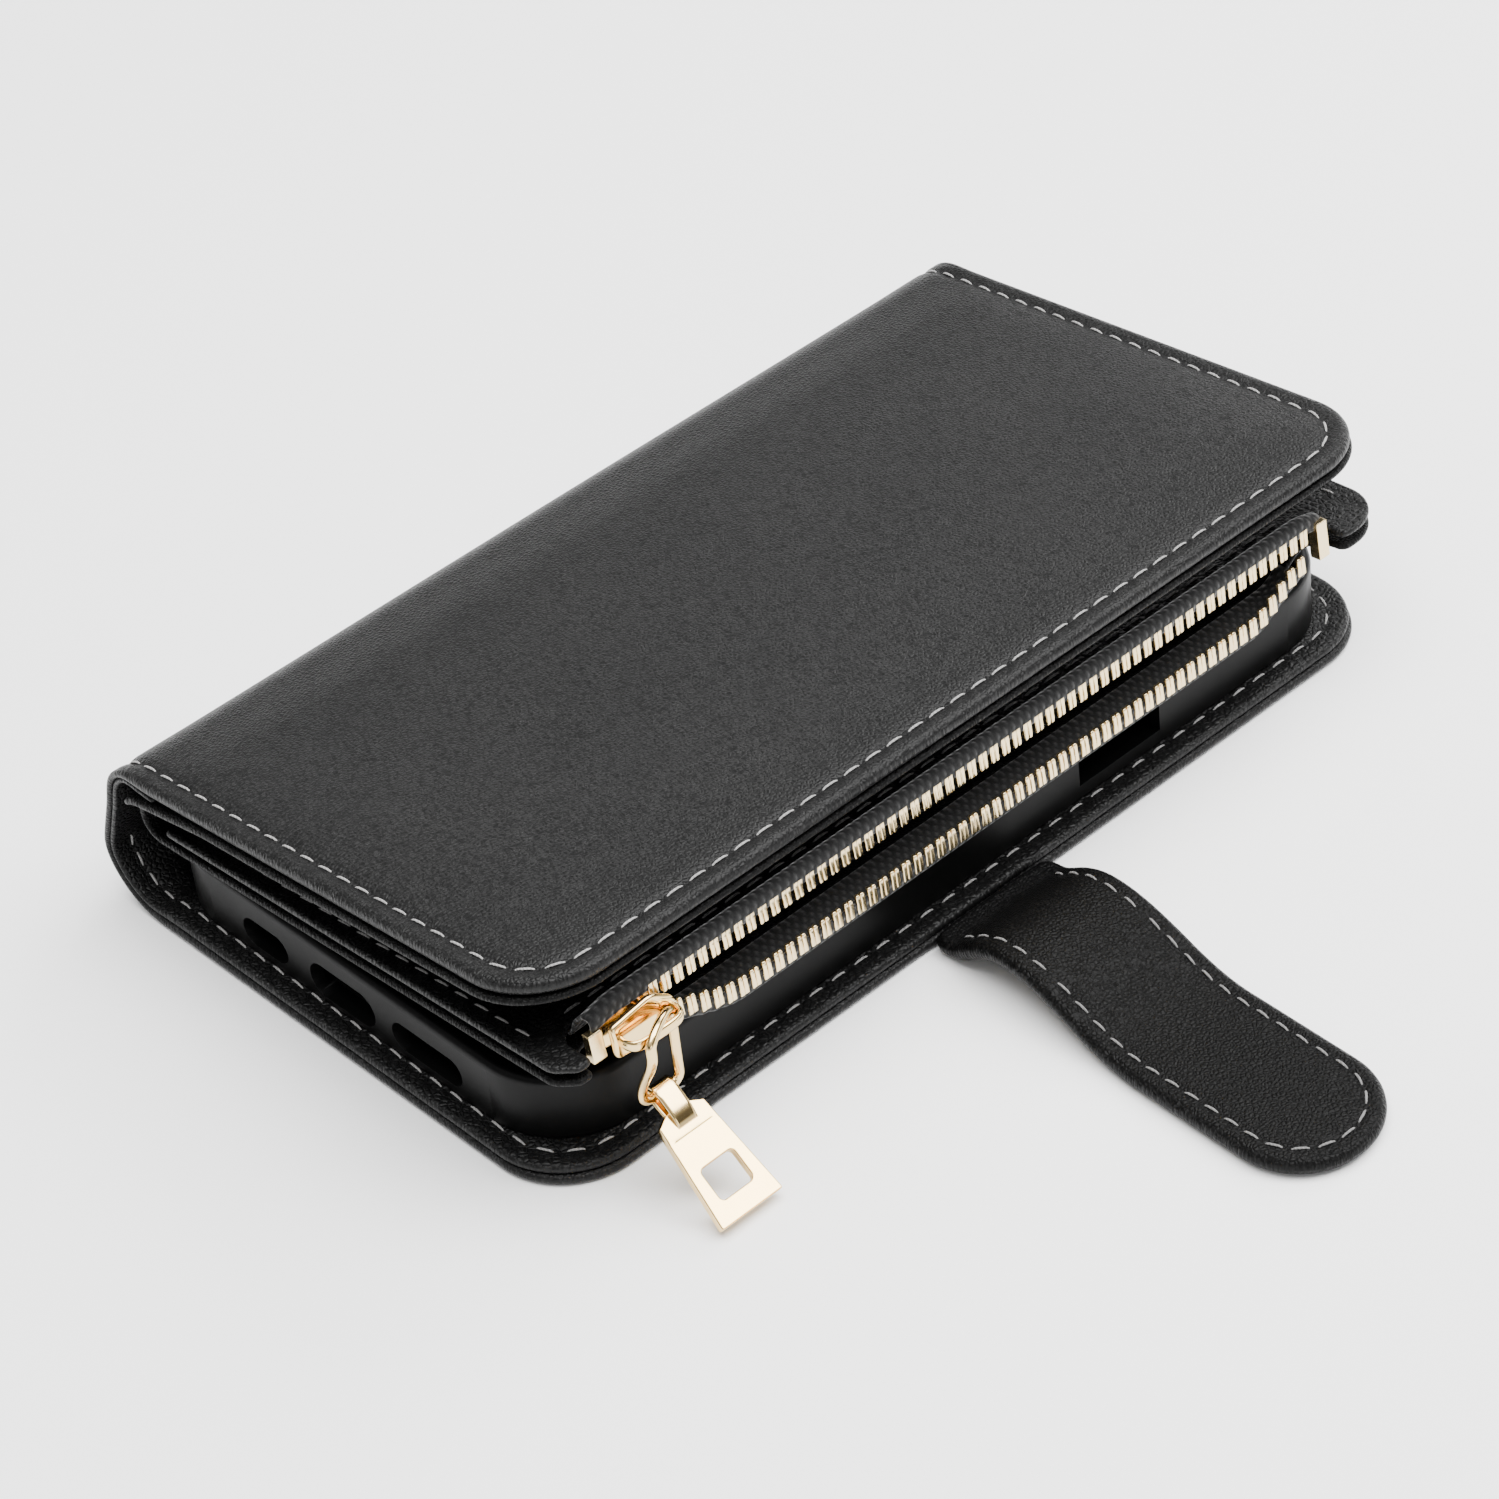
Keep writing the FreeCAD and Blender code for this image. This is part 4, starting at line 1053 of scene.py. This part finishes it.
def strap_piece(name, ends, step):
    return slab(name, SMOOTH, strip(*ends, STRAP_HALF), strap_lift, strap_bottom, strap_top,
                strap_rim, rings=STRAP_RINGS, step=(step, 3.0), cut=strap_split)


strap_root = strap_piece("strap_root_leather", (0.0, 2.4, strap_split, 0), 1.4)
strap_tip = strap_piece("strap_tip_leather", (strap_split, 0, strap_end, STRAP_CORNER), 1.6)


# ---- stitching
def along_outline(outline, inset, keep):
    """The part of an outline, moved inwards, whose points keep() accepts, in order."""
    loop = counter_clockwise(outline)
    moved = [p + n * inset for p, n in zip(loop, inward(loop))]
    good = [keep(p) for p in moved]
    if all(good):
        return moved + moved[:1]
    start = next(i for i in range(len(good)) if good[i] and not good[i - 1])
    line = []
    for k in range(len(good)):
        i = (start + k) % len(good)
        if not good[i]:
            break
        line.append(moved[i])
    return line


cover_line = along_outline(upper_outline, STITCH_IN, lambda p: p.x > u_mid + SEAM_START)
cover_stitches = stitches("cover_stitches", WHITE_THREAD, cover_line, wrap_lift, cover_face)
lining_line = along_outline(lining_outline, STITCH_IN, lambda p: p.x < u_mid - SEAM_START)


def flipped(lift):
    """The same sheet seen from its other face, so that up is away from it."""
    return lambda u, v, h: lift(u, v, -h)


lining_stitches = stitches("lining_stitches", WHITE_THREAD, lining_line, flipped(wrap_lift),
                           lambda u, v: -lining_top(u, v), pitch=BACK_PITCH)
back_stitches = stitches("back_stitches", WHITE_THREAD, lining_line, wrap_lift, back_face,
                         pitch=BACK_PITCH)
page_stitches = []
for name, v, short in (("page_stitches_near", -PAGE_HALF + PAGE_SEAM, 9),
                       ("page_stitches_far", PAGE_HALF - PAGE_SEAM, 7)):
    page_line = [(x, v) for x in np.arange(PAGE_LEFT + 2, PAGE_RIGHT - short, 1.0)]
    page_stitches.append(stitches(name, WHITE_THREAD, page_line, upper_lift, upper_top))
page_line = [(RECESS_X - ZIP_SEAM, y) for y in np.arange(RECESS_Y[0] + 3, RECESS_Y[1] - 2, 1.0)]
page_stitches.append(stitches("page_stitches_zip", GREY_THREAD, page_line, upper_lift, upper_top,
                              radius=0.16))
strap_line = along_outline(strip(0.0, 0, strap_end, STRAP_CORNER, STRAP_HALF), STRAP_SEAM,
                           lambda p: p.x > 3)


def strap_stitches(name, keep):
    part = [p for p in strap_line if keep(p)]
    return stitches(name, GREY_THREAD, part, strap_lift, strap_top, pitch=STRAP_PITCH,
                    dash=STRAP_DASH)


root_stitches = [strap_stitches("strap_root_stitches_0", lambda p: p.x < strap_split and p.y < 0),
                 strap_stitches("strap_root_stitches_1", lambda p: p.x < strap_split and p.y >= 0)]
tip_stitches = strap_stitches("strap_tip_stitches", lambda p: p.x >= strap_split)

# ---- CAD nodes that stay
kept = {"phone_shell": SHELL, "shell_adhesive_pad": PAD, "board_back": BOARD,
        "board_front": BOARD, "magnet_cover": STEEL, "magnet_strap": STEEL,
        "card_pocket_1": CARDS, "card_pocket_2": CARDS, "card_pocket_3": CARDS,
        "pocket_lining_lower": CLOTH, "pocket_lining_upper": CLOTH, "zip_stop_far": TEETH,
        "zip_stop_near": TEETH}
for node, material in kept.items():
    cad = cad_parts[node]
    if not cad.material_slots:
        cad.data.materials.append(material)
    for place in cad.material_slots:
        place.link = "OBJECT"
        place.material = material
for node, width in (("phone_shell", 0.35), ("zip_stop_near", 0.2), ("zip_stop_far", 0.2)):
    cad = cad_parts[node]
    weld = cad.modifiers.new("weld", "WELD")
    weld.merge_threshold = 1e-6
    bevel = cad.modifiers.new("edges", "BEVEL")
    bevel.width = width * MM
    bevel.segments = 3
    bevel.angle_limit = radians(40)


# ---- bodies
def bend_between(*corners):
    """Start and end of a bend in metres, from two (x, z) in millimetres."""
    return [(x * MM, 0, z * MM) for x, z in corners]


low_bend = bend_between((LOW_HINGE[0], 5.0), (LOW_HINGE[0], 11.0))
high_bend = bend_between((HIGH_HINGE[0], 18.0), (HIGH_HINGE[0], 23.6))
fold_bend = bend_between((-45.5, 20.5), (-41.5, 15.0))
root_bend = bend_between((44.0, 1.8), (49.0, 1.8))
tip_bend = bend_between((76.8, 1.5), (83.0, 1.5))
for bodies, bend, pieces in (
        (("back", "spine"), low_bend, (lower_wrap, lower_lining, lining_stitches, back_stitches)),
        (("spine", "front"), high_bend, (upper_wrap, upper_lining, cover_stitches)),
        (("front", "page"), fold_bend, (lower_page,)),
        (("back", "strap_root"), root_bend, (strap_root, *root_stitches)),
        (("strap_root", "strap_tip"), tip_bend, (strap_tip, tip_stitches))):
    for piece in pieces:
        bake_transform(piece)
for body, pieces in (("front", (inner_panel,)),
                     ("page", (upper_page, upper_teeth, lower_teeth, upper_tape, lower_tape)),
                     ("slider", (slider,)), ("ring", (ring,)), ("tab", (tab,)),
                     ("page", page_stitches)):
    for piece in pieces:
        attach(piece, body)
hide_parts("wrap_leather_back")
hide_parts("lining_back")
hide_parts("wrap_leather_front", "padding_front", "wrap_leather_spine")
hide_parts("lining_front", "lining_spine")
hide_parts("inner_panel")
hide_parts("page_fold", "page_lower_panel")
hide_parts("page_upper_panel")
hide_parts("zip_teeth_upper")
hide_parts("zip_teeth_lower")
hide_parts("zip_tape_upper")
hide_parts("zip_tape_lower")
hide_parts("zip_slider")
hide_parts("pull_ring")
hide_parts("pull_tab")
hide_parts("strap_root_tongue", "strap_leather_root", "strap_lining_root",
            "strap_filler_root")
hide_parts("strap_leather_tip", "strap_lining_tip", "strap_filler_tip")


# ---- floor, light and camera
FLOOR_HALF, FLOOR_GAP = 3000, 0.2  # millimetres: half its width, and its distance below the part


def floor():
    bm = bmesh.new()
    bmesh.ops.create_grid(bm, x_segments=2, y_segments=2, size=FLOOR_HALF)
    s = Shader("pale_floor", Roughness=0.9, Base_Color=grey(0.97))
    piece = to_object("floor", bm, s.material)
    piece.location.z = -FLOOR_GAP * MM


def softbox(name, place, aim, size, power):
    """A rectangular soft light in metres and watts, aimed at a point."""
    lamp = bpy.data.lights.new(name, "AREA")
    lamp.shape = "RECTANGLE"
    lamp.size, lamp.size_y = size
    lamp.energy = power
    stand = bpy.data.objects.new(name, lamp)
    bpy.context.collection.objects.link(stand)
    stand.location = place
    stand.rotation_euler = (Vector(aim) - Vector(place)).to_track_quat("-Z", "Y").to_euler()


def camera(azimuth, elevation, roll, focal, distance, target):
    """Angles in degrees, focal length as a share of the frame's width, the rest in
    millimetres."""
    a, e, r = (radians(v) for v in (azimuth, elevation, roll))
    back = Vector((sin(a) * cos(e), -cos(a) * cos(e), sin(e)))
    right = Vector((cos(a), sin(a), 0))
    up = back.cross(right)
    right, up = (right * cos(r) + up * sin(r),
                 up * cos(r) - right * sin(r))
    lens = bpy.data.cameras.new("camera")
    lens.sensor_width = 36.0
    lens.lens = focal * lens.sensor_width
    lens.clip_start = 0.01
    holder = bpy.data.objects.new("camera", lens)
    bpy.context.collection.objects.link(holder)
    turn = Matrix((right, up, back)).transposed().to_4x4()
    holder.matrix_world = Matrix.Translation((Vector(target) + back * distance) * MM) @ turn
    bpy.context.scene.camera = holder


floor()
world = bpy.data.worlds.new("studio")
world.use_nodes = True
nodes, links = world.node_tree.nodes, world.node_tree.links
sky = nodes["Background"]
sky.inputs["Strength"].default_value = 1.0
around = nodes.new("ShaderNodeTexCoord")
split = nodes.new("ShaderNodeSeparateXYZ")
fade = nodes.new("ShaderNodeValToRGB")
links.new(around.outputs["Generated"], split.inputs[0])
links.new(split.outputs["Z"], fade.inputs["Fac"])
links.new(fade.outputs["Color"], sky.inputs["Color"])
# Bright at the horizon and overhead, with a dark band between for the leather to reflect.
fade.color_ramp.elements[0].position = 0.0
fade.color_ramp.elements[0].color = grey(1.25)
fade.color_ramp.elements[1].position = 1.0
fade.color_ramp.elements[1].color = grey(0.9)
for height, tone in ((0.14, 1.0), (0.24, 0.12), (0.42, 0.16), (0.58, 0.6), (0.8, 0.95)):
    fade.color_ramp.elements.new(height).color = grey(tone)
bpy.context.scene.world = world
softbox("far_softbox", (-0.15, 1.0, 0.75), (0, 0, 0.02), (0.7, 0.5), 10)
softbox("top_softbox", (0.1, -0.05, 1.3), (0, 0, 0.02), (1.2, 1.2), 42)
softbox("pull_softbox", (0.42, 0.42, 0.74), (0.05, -0.06, 0.01), (0.5, 0.5), 9)
softbox("side_softbox", (0.95, -0.35, 0.3), (0.04, -0.03, 0.02), (0.5, 0.3), 1.5)
camera(51.131, 39.025, -6.861, 3.1067, 633.896, (5.411, -11.534, 14.993))
